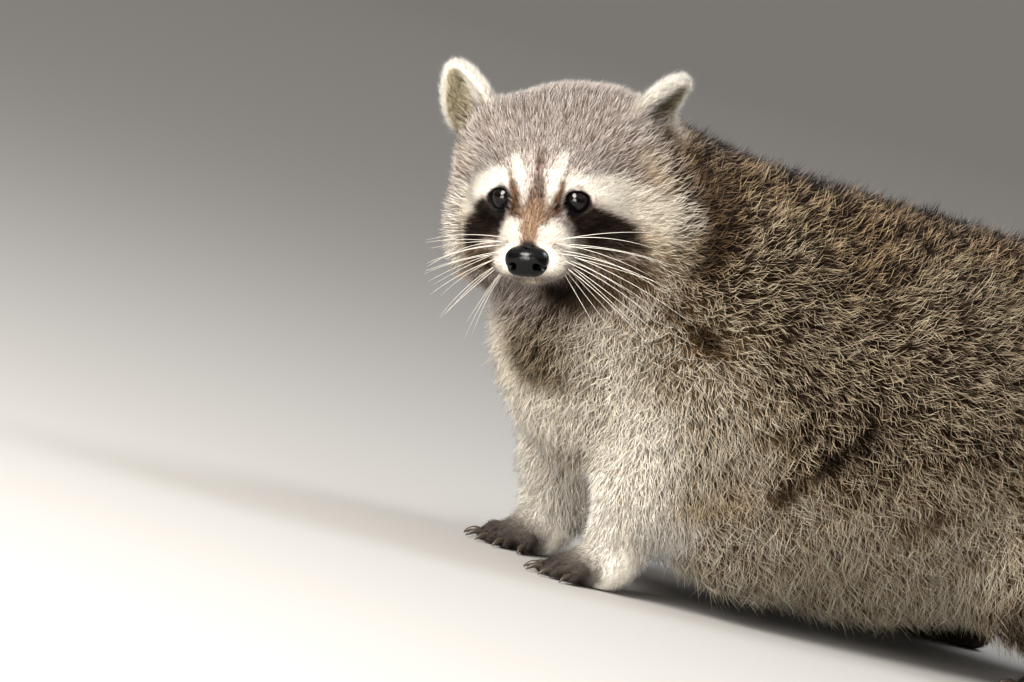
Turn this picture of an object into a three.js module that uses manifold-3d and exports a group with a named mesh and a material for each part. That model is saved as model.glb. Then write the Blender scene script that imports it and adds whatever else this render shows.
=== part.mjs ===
// A life-size model of an adult raccoon, standing on four feet with its head turned to its left.
// Millimetres, +Z up. The animal faces -Y, its left side is +X and its soles are at Z = 0.
// The solids show the outline of the coat. One smooth shape is described by lumps and bones that
// melt into each other, and boxes part it into the head, neck, trunk, legs, feet and tail.
import * as THREE from "three";
import { mergeVertices } from "three/addons/utils/BufferGeometryUtils.js";
import Module from "manifold-3d";

const wasm = await Module();
wasm.setup();

// ---------------------------------------------------------------- driving dimensions
const BACK = 251; // height of the back at the shoulders
const TRUNK_LENGTH = 490; // from the chest to the rump
const GIRTH = 128; // half the width of the belly
const EYE_RADIUS = 8;
const EYE_SPACING = 41; // between the centres of the eyes
const EYE_OPENING = [7.6, 6.5, 6.6]; // half the room between the lids: across, deep and high
const PART_GAP = 0.5; // between parts that touch
const SOLE_SINK = 2.5; // how far the soles are flattened
const HEAD_AT = [34, -249, 207]; // midway between the eyes
const HEAD_TURN = 54; // degrees to the animal's left
const HEAD_NOD = -18; // degrees up
const HEAD_TILT = -14.5; // degrees, crown towards the animal's left
const BLEND = { trunk: 34, head: 11, neck: 16, join: 26, ear: 7, paw: 9, tail: 20 };

const SIDES = { left: 1, right: -1 };
const radians = THREE.MathUtils.degToRad;

// ---------------------------------------------------------------- frames
// A frame measures to the left, forward and up. It may turn left, nod up and tilt its crown left.
function frame(origin, turn = 0, nod = 0, tilt = 0, parent = null) {
  const base = parent
    ? parent.clone().multiply(new THREE.Matrix4().makeTranslation(...origin))
    : new THREE.Matrix4().makeTranslation(...origin).scale(new THREE.Vector3(1, -1, 1));
  return base
    .multiply(new THREE.Matrix4().makeRotationZ(radians(-turn)))
    .multiply(new THREE.Matrix4().makeRotationX(radians(nod)))
    .multiply(new THREE.Matrix4().makeRotationY(radians(tilt)));
}

const at = (matrix, point) => new THREE.Vector3(...point).applyMatrix4(matrix).toArray();

// ---------------------------------------------------------------- shapes, as distances
const melt = (a, b, k) => {
  const near = Math.max(k - Math.abs(a - b), 0) / k;
  return Math.min(a, b) - (near * near * k) / 4;
};
const carve = (a, b, k) => -melt(-a, b, k);

function lump([cx, cy, cz], [rx, ry, rz]) {
  return (x, y, z) => {
    const dx = (x - cx) / rx;
    const dy = (y - cy) / ry;
    const dz = (z - cz) / rz;
    const near = Math.hypot(dx, dy, dz);
    return (near * (near - 1)) / (Math.hypot(dx / rx, dy / ry, dz / rz) + 1e-9);
  };
}

function bone([ax, ay, az], ra, [bx, by, bz], rb) {
  const [dx, dy, dz] = [bx - ax, by - ay, bz - az];
  const square = dx * dx + dy * dy + dz * dz;
  return (x, y, z) => {
    const along = ((x - ax) * dx + (y - ay) * dy + (z - az) * dz) / square;
    const t = Math.min(1, Math.max(0, along));
    return Math.hypot(x - ax - t * dx, y - ay - t * dy, z - az - t * dz) - ra - t * (rb - ra);
  };
}

const melted = (shapes, k) => (x, y, z) => shapes.reduce((d, s) => melt(d, s(x, y, z), k), 1e3);
const chain = (points) => points.slice(1).map(([p, r], i) => bone(points[i][0], points[i][1], p, r));
const both = (make) => Object.values(SIDES).flatMap(make);

// A shape that is described in a frame, seen from the model's own axes.
function placed(matrix, shape) {
  const e = matrix.clone().invert().elements;
  return (x, y, z) =>
    shape(
      e[0] * x + e[4] * y + e[8] * z + e[12],
      e[1] * x + e[5] * y + e[9] * z + e[13],
      e[2] * x + e[6] * y + e[10] * z + e[14],
    );
}

// ---------------------------------------------------------------- trunk, neck and upper legs
const CHEST_Y = -TRUNK_LENGTH * 0.23;
const RUMP_Y = TRUNK_LENGTH * 0.3;
const trunk = melted(
  [
    lump([0, CHEST_Y, 150], [90, 96, 98]),
    lump([0, -142, 148], [84, 86, 92]),
    lump([0, 20, 144], [GIRTH, 156, 106]),
    lump([0, RUMP_Y, 146], [112, 112, 102]),
    bone([0, -145, BACK - 74], 70, [0, -50, BACK - 76], 72),
    bone([0, -50, BACK - 76], 72, [0, 150, BACK - 80], 80),
    bone([0, -124, 170], 82, [-4, -198, 219], 58),
    ...both((s) => lump([s * 62, -92, 140], [48, 66, 82])),
    ...both((s) => lump([s * 64, -84, 60], [42, 50, 50])),
    ...both((s) => lump([s * 40, 4, 100], [84, 146, 94])),
    ...both((s) => lump([s * 84, 130, 104], [46, 74, 84])),
  ],
  BLEND.trunk,
);

const WRISTS = { left: [56, -153, 20], right: [-55, -135, 20] };
const foreleg = (s, [x, y, z]) =>
  melted(
    chain([
      [[s * 62, y + 22, 120], 44],
      [[s * 60, y + 8, 66], 31],
      [[x, y, z], 17],
    ]),
    BLEND.paw,
  );

const HEELS = { left: [92, 190, 17], right: [-92, 199, 17] };
const hindleg = (s, [x, y, z]) =>
  melted(
    chain([
      [[s * 76, y - 18, 120], 60],
      [[s * 100, y - 82, 76], 43],
      [[s * 92, y - 14, 46], 30],
      [[x, y, z + 3], 17],
    ]),
    BLEND.paw * 2,
  );

// ---------------------------------------------------------------- feet
// The toes of a foot spread by these degrees, from its inner or outer side to the other.
const FORE_TOES = { spread: [-36, -16, -1, 14, 34], lengths: [16, 21, 23, 21, 16], reach: 14, radius: 5.2 };
const HIND_TOES = { spread: [-24, -11, 0, 11, 25], lengths: [16, 20, 21, 19, 15], reach: 56, radius: 5.4 };
const TOE_HEIGHTS = { root: 8, knuckle: 9.5, tip: 4, point: 1.6 };
const TOE_FAN = 0.32; // how far apart the toes' roots are, for each degree that they spread
const KNUCKLE_AT = 0.55; // of a toe's length
const CLAW = { length: 10, radius: 1.8 };
const CLAW_RINGS = [1, 0.8, 0.15];

// Each toe rises to its knuckle and comes down to its tip, with the claw beyond it.
function toeLine({ spread, lengths, reach }, i) {
  const turn = radians(spread[i]);
  const root = spread[i] * TOE_FAN;
  const spot = (far, height) => [root + Math.sin(turn) * far, reach + Math.cos(turn) * far, height];
  return {
    root: spot(0, TOE_HEIGHTS.root),
    knuckle: spot(lengths[i] * KNUCKLE_AT, TOE_HEIGHTS.knuckle),
    tip: spot(lengths[i], TOE_HEIGHTS.tip),
    point: spot(lengths[i] + CLAW.length, TOE_HEIGHTS.point),
  };
}

const forepaw = melted(
  [lump([0, 10, 10], [16, 19, 12]), bone([0, -4, 20], 15, [0, 9, 12], 12)],
  BLEND.paw,
);
const hindpaw = melted(
  [bone([0, 0, 15], 17, [0, 34, 12], 14), lump([0, 46, 10], [20, 25, 12])],
  BLEND.paw,
);

const SOLE_LIFT = 1.4; // height of a foot's frame before its sole is flattened
const foot = ([x, y], turn, kind) => ({
  frame: frame([x, y, SOLE_LIFT - SOLE_SINK], turn),
  ...kind,
});
const FOREPAW = { toes: FORE_TOES, shape: forepaw, ankle: 24, slant: -62 };
const HINDPAW = { toes: HIND_TOES, shape: hindpaw, ankle: 27, slant: -83 };
const PAWS = {
  forepaw_left: foot(WRISTS.left, -9, FOREPAW),
  forepaw_right: foot(WRISTS.right, 10, FOREPAW),
  hindpaw_left: foot(HEELS.left, 9, HINDPAW),
  hindpaw_right: foot(HEELS.right, -12, HINDPAW),
};

// ---------------------------------------------------------------- tail
const TAIL = [
  [[0, 222, 172], 30],
  [[2, 272, 128], 33],
  [[12, 312, 78], 37],
  [[38, 342, 43], 39],
  [[88, 352, 37], 38],
  [[138, 338, 33], 35],
  [[176, 308, 28], 30],
  [[194, 284, 22], 23],
];
const tail = melted(chain(TAIL), BLEND.tail);

// ---------------------------------------------------------------- head
const head = frame(HEAD_AT, HEAD_TURN, HEAD_NOD, HEAD_TILT);
const EYES = {
  left: frame([EYE_SPACING / 2, 1, 0], 14, 4, 0, head),
  right: frame([-EYE_SPACING / 2, 1, 0], -14, 4, 0, head),
};
const skull = melted(
  [
    lump([3, -48, 9], [51, 48, 42]),
    lump([0, -19, 3], [37, 33, 27]),
    lump([31, -46, 30], [23, 25, 22]),
    lump([-31, -46, 26], [19, 25, 18]),
    ...both((s) => lump([s * 25, -14, -2], [19, 19.5, 15])),
    ...both((s) => lump([s * 36, -43, -25], [32, 33, 31])),
    ...both((s) => lump([s * 44, -52, 2], [19, 24, 24])),
    ...both((s) => lump([s * 34, -38, -42], [33, 31, 27])),
    bone([0, -20, -14], 28, [0, 14, -18], 19),
    bone([0, 14, -18.5], 18, [0, 40, -22], 11),
    ...both((s) => lump([s * 12, 26, -28], [12.5, 16, 10])),
    bone([0, -16, -34], 19, [0, 25, -33.5], 8.5),
  ],
  BLEND.head,
);
const nose = melted(
  [
    lump([0, 42, -21.3], [11.6, 8.5, 6.9]),
    lump([0, 44, -25.6], [8.2, 6.5, 6.4]),
    ...both((s) => lump([s * 7, 42, -23], [5.4, 7, 5.7])),
  ],
  2.5,
);
const NOSE_MIDDLE = [0, 42, -22.3];
const NOSE_ROOM = 1.07;

// ---------------------------------------------------------------- ears
// An ear is an upright cup: a rounded leaf with a hollow front.
const EARS = {
  left: frame([49, -56, 30], 55, -34, 30, head),
  right: frame([-49, -55, 27], -24, 4, -25, head),
};
const EAR = { half: 20, thick: 8.5, tall: 36 };
const leaf = (half, thick, top, blend, y) =>
  melted(
    [
      lump([0, y, top - 30], [half, thick, 24]),
      lump([0, y, top - 16], [half * 0.64, thick * 0.85, 16]),
      lump([0, y, top - 9], [half * 0.36, thick * 0.7, 9]),
    ],
    blend,
  );
const outerEar = leaf(EAR.half, EAR.thick, EAR.tall, 6, 0);
const innerEar = leaf(EAR.half - 6, EAR.thick, EAR.tall - 5, 4, EAR.thick);
const ear = (x, y, z) => carve(outerEar(x, y, z), innerEar(x, y, z), 2.5);

// ---------------------------------------------------------------- the whole animal
const wholeHead = melted(
  [placed(head, skull), ...Object.values(EARS).map((spot) => placed(spot, ear))],
  BLEND.ear,
);
const legs = Object.entries(SIDES).flatMap(([side, s]) => [
  foreleg(s, WRISTS[side]),
  hindleg(s, HEELS[side]),
]);
const paws = Object.values(PAWS).map((paw) => placed(paw.frame, paw.shape));

function animal(x, y, z) {
  let d = trunk(x, y, z);
  for (const leg of legs) d = melt(d, leg(x, y, z), BLEND.join);
  d = melt(d, tail(x, y, z), BLEND.tail);
  d = melt(d, wholeHead(x, y, z), BLEND.neck);
  for (const paw of paws) d = melt(d, paw(x, y, z), BLEND.paw);
  return d;
}

// ---------------------------------------------------------------- from a distance to a mesh
// Surface nets: one vertex in each cell that the surface crosses, moved onto the surface.
function settle(shape, point, reach) {
  const moved = [...point];
  for (let turn = 0; turn < 3; turn++) {
    const d = shape(...moved);
    const slope = [0, 1, 2].map((axis) => {
      const ahead = [...moved];
      ahead[axis] += 0.2;
      return (shape(...ahead) - d) / 0.2;
    });
    const square = slope.reduce((sum, v) => sum + v * v, 1e-9);
    slope.forEach((v, axis) => {
      const next = moved[axis] - (d * v) / square;
      moved[axis] = Math.min(point[axis] + reach, Math.max(point[axis] - reach, next));
    });
  }
  return moved;
}

const CORNERS = [0, 1, 2, 3, 4, 5, 6, 7].map((c) => [c & 1, (c >> 1) & 1, c >> 2]);
const stepped = (spot, axis) => spot.map((v, n) => (n === axis ? 1 : v));
const EDGES = CORNERS.flatMap((from) =>
  [0, 1, 2].filter((axis) => !from[axis]).map((axis) => [from, stepped(from, axis), axis]),
);
// The cells round an edge of the grid.
const ROUND_EDGE = [
  [0, 0],
  [-1, 0],
  [-1, -1],
  [0, -1],
];

function surface(shape, low, high, step) {
  const count = low.map((v, i) => Math.ceil((high[i] - v) / step) + 5);
  const [nx, ny] = count;
  const place = (i, axis) => low[axis] + (i - 2) * step;
  const index = (i, j, k) => i + nx * (j + ny * k);
  const rim = (spot, width) => spot.some((v, axis) => v < width || v >= count[axis] - width);
  const values = new Float32Array(nx * ny * count[2]);
  const spots = [];
  for (let k = 0; k < count[2]; k++)
    for (let j = 0; j < ny; j++)
      for (let i = 0; i < nx; i++) {
        const d = shape(place(i, 0), place(j, 1), place(k, 2));
        values[index(i, j, k)] = rim([i, j, k], 1) ? Math.max(d, step / 2) : d;
        if (i < nx - 1 && j < ny - 1 && k < count[2] - 1) spots.push([i, j, k]);
      }
  const value = (spot, offset) => values[index(...spot.map((v, axis) => v + offset[axis]))];
  const vertexOf = new Map();
  const positions = [];
  const vertex = (spot) => {
    const key = index(...spot);
    if (vertexOf.has(key)) return vertexOf.get(key);
    const sum = [0, 0, 0];
    let crossings = 0;
    for (const [from, to, axis] of EDGES) {
      const [a, b] = [value(spot, from), value(spot, to)];
      if (a < 0 === b < 0) continue;
      from.forEach((v, n) => (sum[n] += n === axis ? a / (a - b) : v));
      crossings++;
    }
    const point = spot.map((v, axis) => place(v, axis) + (sum[axis] / crossings) * step);
    positions.push(...(rim(spot, 2) ? point : settle(shape, point, step * 0.45)));
    vertexOf.set(key, vertexOf.size);
    return vertexOf.size - 1;
  };
  const triangles = [];
  for (const spot of spots)
    for (let axis = 0; axis < 3; axis++) {
      const inside = value(spot, [0, 0, 0]) < 0;
      if (inside === value(spot, stepped([0, 0, 0], axis)) < 0) continue;
      const ring = ROUND_EDGE.map(([du, dv]) => {
        const cell = [...spot];
        cell[(axis + 1) % 3] += du;
        cell[(axis + 2) % 3] += dv;
        return vertex(cell);
      });
      const [a, b, c, d] = inside ? ring : ring.reverse();
      triangles.push(a, b, c, a, c, d);
    }
  return { positions: Float32Array.from(positions), triangles: Uint32Array.from(triangles) };
}

const solid = ({ positions, triangles }) =>
  new wasm.Manifold(new wasm.Mesh({ numProp: 3, vertProperties: positions, triVerts: triangles }));

function solidOf(geometry, matrix = new THREE.Matrix4()) {
  geometry.deleteAttribute("normal");
  geometry.deleteAttribute("uv");
  const merged = mergeVertices(geometry.applyMatrix4(matrix), 1e-4);
  return solid({
    positions: merged.attributes.position.array,
    triangles: new Uint32Array(merged.index.array),
  });
}

const biggest = (made) => made.decompose().sort((a, b) => b.volume() - a.volume())[0];

function geometryOf(made) {
  const mesh = made.getMesh();
  return new THREE.BufferGeometry()
    .setAttribute("position", new THREE.BufferAttribute(new Float32Array(mesh.vertProperties), 3))
    .setIndex(new THREE.BufferAttribute(new Uint32Array(mesh.triVerts), 1));
}

// ---------------------------------------------------------------- parting the animal
// Each part is what lies in its own box. A box may be turned, and the parts listed first come first.
const COAT = 0x8a7a66;
const PALE = 0xd8cbb4;
const DARK = 0x3b322b;
const KNEE_HEIGHT = 58; // where a leg is parted from its lower half
const outward = (s, far) => (s > 0 ? [0, far] : [-far, 0]);
const box = (turned, low, high) => ({ frame: turned, low, high });
const limbBox = (turned, s, back, front) => {
  const [inner, outer] = outward(s, 200);
  return box(turned, [inner, back, -220], [outer, front, 220]);
};

const earPart = (side) => ({
  name: `ear_${side}`,
  ...box(EARS[side], [-33, -24, 9], [33, 26, 70]),
  step: 6.4,
  colour: PALE,
});

const pawPart = ([name, paw]) => ({
  name,
  ...box(frame([0, -8, paw.ankle], 0, paw.slant, 0, paw.frame), [-36, 0, -40], [36, 90, 130]),
  step: 12.6,
  colour: DARK,
  toes: true,
});

const legParts = ([side, s]) => [
  {
    name: `forearm_${side}`,
    ...box(frame([s * 58, 0, 0]), [-40, 106, -10], [42, 240, KNEE_HEIGHT]),
    step: 15,
    colour: PALE,
  },
  {
    name: `shank_${side}`,
    ...box(frame([s * 96, 0, 0]), [-46, -240, -10], [60, -66, KNEE_HEIGHT]),
    step: 18.5,
    colour: COAT,
  },
  {
    name: `upper_foreleg_${side}`,
    ...limbBox(frame([s * 44, -72, 100], 0, 0, s * 44), s, 0, 160),
    step: 26,
    colour: PALE,
  },
  {
    name: `thigh_${side}`,
    ...limbBox(frame([s * 70, 66, 104], 0, 0, s * 40), s, -190, 0),
    step: 26,
    colour: COAT,
  },
];

const headParts = [
  { name: "muzzle", ...box(head, [-36, 9, -46], [36, 72, 34]), step: 9.4, colour: PALE },
  {
    name: "head",
    ...box(frame([-8, -195, 197], 8, 43), [-110, 0, -90], [110, 200, 170]),
    step: 17.5,
    colour: COAT,
  },
  {
    name: "neck",
    ...box(frame([0, -150, 172], 0, 42), [-130, 0, -130], [130, 160, 190]),
    step: 27,
    colour: COAT,
  },
];

const tailParts = [
  {
    name: "tail_tip",
    ...box(frame([96, 350, 37], 90), [-110, 0, -60], [120, 160, 60]),
    step: 18.5,
    colour: DARK,
  },
  {
    name: "tail_middle",
    ...box(frame([12, 312, 78], 180, -58), [-120, 0, -60], [110, 160, 90]),
    step: 20.5,
    colour: PALE,
  },
  {
    name: "tail_base",
    ...box(frame([0, 246, 160], 180, -30), [-52, 0, -62], [52, 190, 80]),
    step: 19.5,
    colour: COAT,
  },
];

const parts = [
  ...Object.keys(SIDES).map(earPart),
  ...headParts,
  ...Object.entries(PAWS).map(pawPart),
  ...Object.entries(SIDES).flatMap(legParts),
  ...tailParts,
  { name: "trunk", ...box(frame([0, 0, 0]), [-180, -320, -10], [180, 330, 320]), step: 38, colour: COAT },
];

function boxed({ low, high, frame: matrix }, grow = 0) {
  const size = high.map((v, axis) => v - low[axis] + 2 * grow);
  const centre = high.map((v, axis) => (v + low[axis]) / 2);
  return solidOf(new THREE.BoxGeometry(...size).translate(...centre)).transform(matrix.elements);
}

function samplingBox({ low, high, frame: matrix }) {
  const room = new THREE.Box3(new THREE.Vector3(...low), new THREE.Vector3(...high));
  room.applyMatrix4(matrix);
  return [room.min.toArray(), room.max.toArray()];
}

// ---------------------------------------------------------------- eyes, nose and claws
// A round rod through points, one ring of vertices at each radius, with both ends closed.
function rod(points, radii, sides = 6) {
  const curve = new THREE.CatmullRomCurve3(points.map((p) => new THREE.Vector3(...p)));
  const upright = new THREE.Vector3(0, 0, 1);
  const spots = radii.flatMap((radius, ring) => {
    const t = ring / (radii.length - 1);
    const across = upright.clone().cross(curve.getTangent(t)).normalize();
    const over = curve.getTangent(t).cross(across);
    return Array.from({ length: sides }, (_, i) => {
      const turn = (2 * Math.PI * i) / sides;
      return curve
        .getPoint(t)
        .addScaledVector(across, radius * Math.cos(turn))
        .addScaledVector(over, radius * Math.sin(turn));
    });
  });
  const root = spots.length;
  const last = root - sides;
  spots.push(curve.getPoint(0), curve.getPoint(1));
  const faces = [];
  for (let i = 0; i < sides; i++) {
    const next = (i + 1) % sides;
    faces.push(root, next, i, last + i, last + next, root + 1);
    for (let ring = 0; ring < last; ring += sides) {
      const [a, b] = [ring + i, ring + next];
      faces.push(a, b, b + sides, a, b + sides, a + sides);
    }
  }
  return solid({
    positions: Float32Array.from(spots.flatMap((p) => p.toArray())),
    triangles: Uint32Array.from(faces),
  });
}

// The toes of a foot, which are joined to its sole.
const TOE_RINGS = [1.05, 1.15, 0.8];
const toeRods = ({ frame: matrix, toes }) =>
  toes.spread.map((_, i) => {
    const { root, knuckle, tip } = toeLine(toes, i);
    const line = [root, knuckle, tip].map((p) => at(matrix, p));
    return rod(line, TOE_RINGS.map((r) => r * toes.radius), 5);
  });

// An eye and the nose have the room that they take in the parts around them.
function eyePiece([side, eye]) {
  const ball = (r) => solidOf(new THREE.SphereGeometry(r, 10, 7)).transform(eye.elements);
  const opening = new THREE.SphereGeometry(1, 10, 7).scale(...EYE_OPENING).translate(0, EYE_RADIUS, 0);
  const room = ball(EYE_RADIUS).add(solidOf(opening).transform(eye.elements));
  return { name: `eye_${side}`, made: ball(EYE_RADIUS - PART_GAP), room, colour: 0x14100e, roughness: 0.08 };
}

function nosePiece() {
  const pad = solid(surface(nose, [-18, 28, -40], [18, 58, -8], 5.2));
  const back = NOSE_MIDDLE.map((v) => -v);
  const room = pad.translate(back).scale(NOSE_ROOM).translate(NOSE_MIDDLE);
  return {
    name: "nose",
    made: pad.transform(head.elements),
    room: room.transform(head.elements),
    colour: 0x17151a,
    roughness: 0.3,
  };
}

// A claw leaves its toe near the tip, arches and comes down to its point.
const CLAW_ARCH = [
  [0.22, 0.6],
  [0.55, 2],
  [1, 0],
];
function clawPiece(name, paw, i) {
  const { tip, point } = toeLine(paw.toes, i);
  const along = ([t, lift]) => tip.map((v, axis) => v + (point[axis] - v) * t + (axis === 2 ? lift : 0));
  const line = CLAW_ARCH.map((spot) => at(paw.frame, along(spot)));
  const made = rod(line, CLAW_RINGS.map((r) => r * CLAW.radius), 4);
  return { name: `claw_${name}_${i + 1}`, made, colour: 0xb9ab95, roughness: 0.35 };
}

const hard = [
  ...Object.entries(EYES).map(eyePiece),
  nosePiece(),
  ...Object.entries(PAWS).flatMap(([name, paw]) => paw.toes.spread.map((_, i) => clawPiece(name, paw, i))),
];

// ---------------------------------------------------------------- assembly
const group = new THREE.Group();
const addNode = (name, made, colour, roughness) => {
  const material = new THREE.MeshStandardMaterial({ color: colour, roughness, metalness: 0 });
  const mesh = new THREE.Mesh(geometryOf(made), material);
  mesh.name = name;
  group.add(mesh);
};

const taken = [];
for (const part of parts) {
  let made = solid(surface(animal, ...samplingBox(part), part.step)).intersect(boxed(part));
  if (part.toes) made = toeRods(PAWS[part.name]).reduce((joined, toe) => joined.add(toe), made);
  for (const earlier of taken) made = made.subtract(boxed(earlier, PART_GAP));
  for (const { room } of hard) if (room) made = made.subtract(room);
  addNode(part.name, biggest(made.trimByPlane([0, 0, 1], 0)), part.colour, 0.95);
  taken.push(part);
}
for (const { name, made, colour, roughness } of hard) {
  addNode(name, made.trimByPlane([0, 0, 1], 0), colour, roughness);
}

// The origin is on the floor under the middle of the box that holds the animal.
const bounds = new THREE.Box3().setFromObject(group);
const middle = bounds.getCenter(new THREE.Vector3());
group.position.set(-middle.x, -middle.y, 0);

export default group;
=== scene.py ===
"""The looks of a life-size raccoon: its skin, coat, eyes, nose, claws and whiskers.

Lengths are millimetres in the animal's own axes: it faces -Y, its left is +X and its soles are at
Z = 0. A mesh is turned into metres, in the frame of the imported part, when it is made.
"""
import math
from concurrent.futures import ThreadPoolExecutor

import bmesh
import bpy
import numpy as np
from mathutils import Matrix, Vector, kdtree


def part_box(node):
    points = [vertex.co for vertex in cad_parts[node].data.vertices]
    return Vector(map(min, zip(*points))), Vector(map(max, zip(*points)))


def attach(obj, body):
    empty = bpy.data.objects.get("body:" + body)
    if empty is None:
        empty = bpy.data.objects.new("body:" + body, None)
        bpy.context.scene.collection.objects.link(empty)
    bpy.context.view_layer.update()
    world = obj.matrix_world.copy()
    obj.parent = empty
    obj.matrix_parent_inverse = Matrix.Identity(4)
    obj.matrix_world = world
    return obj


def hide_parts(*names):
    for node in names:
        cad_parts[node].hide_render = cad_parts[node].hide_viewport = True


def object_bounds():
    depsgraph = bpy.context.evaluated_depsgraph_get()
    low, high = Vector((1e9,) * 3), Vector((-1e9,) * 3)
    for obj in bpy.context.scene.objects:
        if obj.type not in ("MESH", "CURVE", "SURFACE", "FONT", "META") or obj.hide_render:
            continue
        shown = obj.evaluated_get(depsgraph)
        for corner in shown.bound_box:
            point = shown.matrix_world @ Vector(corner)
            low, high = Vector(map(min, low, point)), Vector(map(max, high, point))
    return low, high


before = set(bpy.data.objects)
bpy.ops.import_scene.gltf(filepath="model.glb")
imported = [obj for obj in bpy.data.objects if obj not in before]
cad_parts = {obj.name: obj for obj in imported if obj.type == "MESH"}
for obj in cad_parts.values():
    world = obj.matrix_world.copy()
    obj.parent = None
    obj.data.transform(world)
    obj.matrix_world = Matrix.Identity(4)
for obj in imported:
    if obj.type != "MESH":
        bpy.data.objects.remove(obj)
CAD_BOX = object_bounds()

# ---- driving dimensions, as in the part
BACK = 251  # height of the back at the shoulders
TRUNK_LENGTH = 490
GIRTH = 128  # half the width of the belly
EYE_RADIUS = 7.9
EYE_SPACING = 41
HEAD_AT = (34, -249, 207)
HEAD_TURN = 54
HEAD_NOD = -18
HEAD_TILT = -14.5
BLEND = {"trunk": 34, "head": 11, "neck": 16, "join": 26, "ear": 7, "paw": 9, "tail": 20, "toe": 3}
SOLE_LEVEL = 0.4  # height of the skin's flat soles
METRE = 1000
SIDES = {"left": 1, "right": -1}
CORES = 4
CHUNK = 16384
RANDOM = np.random.default_rng(7)
FULL = 1.0  # share of the coat that is made


# ---- frames
def frame_at(origin, turn=0, nod=0, tilt=0, parent=None):
    """A frame that measures to the left, forward and up, and may turn left, nod up and tilt left."""
    moved = Matrix.Translation(origin)
    base = parent @ moved if parent else moved @ Matrix.Diagonal((1, -1, 1, 1))
    for axis, degrees in (("Z", -turn), ("X", nod), ("Y", tilt)):
        base = base @ Matrix.Rotation(math.radians(degrees), 4, axis)
    return base


def applied(matrix, p):
    """Points, one in each column, taken through a matrix."""
    rows = np.array(matrix, dtype=np.float32)
    return rows[:3, :3] @ p + rows[:3, 3:]


def inside_of(matrix, p):
    return applied(matrix.inverted(), p)


def directed(matrix, direction):
    """A direction given in a frame, as a unit column in the animal's axes."""
    d = np.array(matrix, dtype=np.float32)[:3, :3] @ np.array(direction, dtype=np.float32)
    return (d / np.linalg.norm(d))[:, None]


def column(values):
    return np.array(values, dtype=np.float32)[:, None]


def lengths(v):
    return np.sqrt(np.einsum("ij,ij->j", v, v)) + 1e-9


def unit(v):
    return v / lengths(v)


def ramp(value, low, high):
    """0 below low, 1 above high and smooth between."""
    t = np.clip((value - low) / (high - low), 0, 1)
    return t * t * (3 - 2 * t)


def mixed(a, b, share):
    return a + (b - a) * share


# ---- shapes, as distances
def melt(a, b, k):
    near = np.maximum(k - np.abs(a - b), 0)
    return np.minimum(a, b) - near * near * (0.25 / k)


def carve(a, b, k):
    return -melt(-a, b, k)


def lump(centre, radii):
    middle, size = column(centre), column(radii)

    def distance(p):
        q = (p - middle) / size
        near = lengths(q)
        return near * (near - 1) / lengths(q / size)

    return distance


def bone(start, start_radius, end, end_radius):
    a = column(start)
    along = column(end) - a
    square = float((along * along).sum())

    def distance(p):
        off = p - a
        t = np.clip((along.T @ off)[0] / square, 0, 1)
        return lengths(off - along * t) - start_radius - t * (end_radius - start_radius)

    return distance


def melted(shapes, k):
    def distance(p):
        total = shapes[0](p)
        for shape in shapes[1:]:
            total = melt(total, shape(p), k)
        return total

    return distance


def chain(points):
    return [bone(*a, *b) for a, b in zip(points, points[1:])]


def both(make):
    return [make(s) for s in SIDES.values()]


def placed(matrix, shape):
    return lambda p: shape(inside_of(matrix, p))


# ---- the animal's shape, as in the part
CHEST_Y = -TRUNK_LENGTH * 0.23
RUMP_Y = TRUNK_LENGTH * 0.3
TRUNK = melted(
    [
        lump((0, CHEST_Y, 150), (90, 96, 98)),
        lump((0, -142, 148), (84, 86, 92)),
        lump((0, 20, 144), (GIRTH, 156, 106)),
        lump((0, RUMP_Y, 146), (112, 112, 102)),
        bone((0, -145, BACK - 74), 70, (0, -50, BACK - 76), 72),
        bone((0, -50, BACK - 76), 72, (0, 150, BACK - 80), 80),
        bone((0, -124, 170), 82, (-4, -198, 219), 58),
        *both(lambda s: lump((s * 62, -92, 140), (48, 66, 82))),
        *both(lambda s: lump((s * 64, -84, 60), (42, 50, 50))),
        *both(lambda s: lump((s * 40, 4, 100), (84, 146, 94))),
        *both(lambda s: lump((s * 84, 130, 104), (46, 74, 84))),
    ],
    BLEND["trunk"],
)

WRISTS = {"left": (56, -153, 20), "right": (-55, -135, 20)}
HEELS = {"left": (92, 190, 17), "right": (-92, 199, 17)}


def foreleg(side):
    s, (x, y, z) = SIDES[side], WRISTS[side]
    shoulder, elbow = ((s * 62, y + 22, 120), 44), ((s * 60, y + 8, 66), 31)
    return melted(chain([shoulder, elbow, ((x, y, z), 17)]), BLEND["paw"])


def hindleg(side):
    s, (x, y, z) = SIDES[side], HEELS[side]
    hip, knee = ((s * 76, y - 18, 120), 60), ((s * 100, y - 82, 76), 43)
    return melted(chain([hip, knee, ((s * 92, y - 14, 46), 30), ((x, y, z + 3), 17)]), BLEND["paw"] * 2)


FORELEGS = [foreleg(side) for side in SIDES]
HINDLEGS = [hindleg(side) for side in SIDES]

# Each kind of foot: the toes' spread in degrees, their lengths, where they start and their radius.
FORE_TOES = {"spread": (-36, -16, -1, 14, 34), "lengths": (16, 21, 23, 21, 16), "reach": 14, "radius": 5.2}
HIND_TOES = {"spread": (-24, -11, 0, 11, 25), "lengths": (16, 20, 21, 19, 15), "reach": 56, "radius": 5.4}
CLAW_LENGTH = 10
CLAW_RADIUS = 1.8


def toe_line(toes, i):
    """The root, knuckle and tip of a toe, and the point of its claw."""
    turn = math.radians(toes["spread"][i])
    length = toes["lengths"][i]

    def spot(far, height):
        left = toes["spread"][i] * 0.32 + math.sin(turn) * far
        return left, toes["reach"] + math.cos(turn) * far, height

    return spot(0, 8), spot(length * 0.55, 9.5), spot(length, 4), spot(length + CLAW_LENGTH, 1.6)


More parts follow.
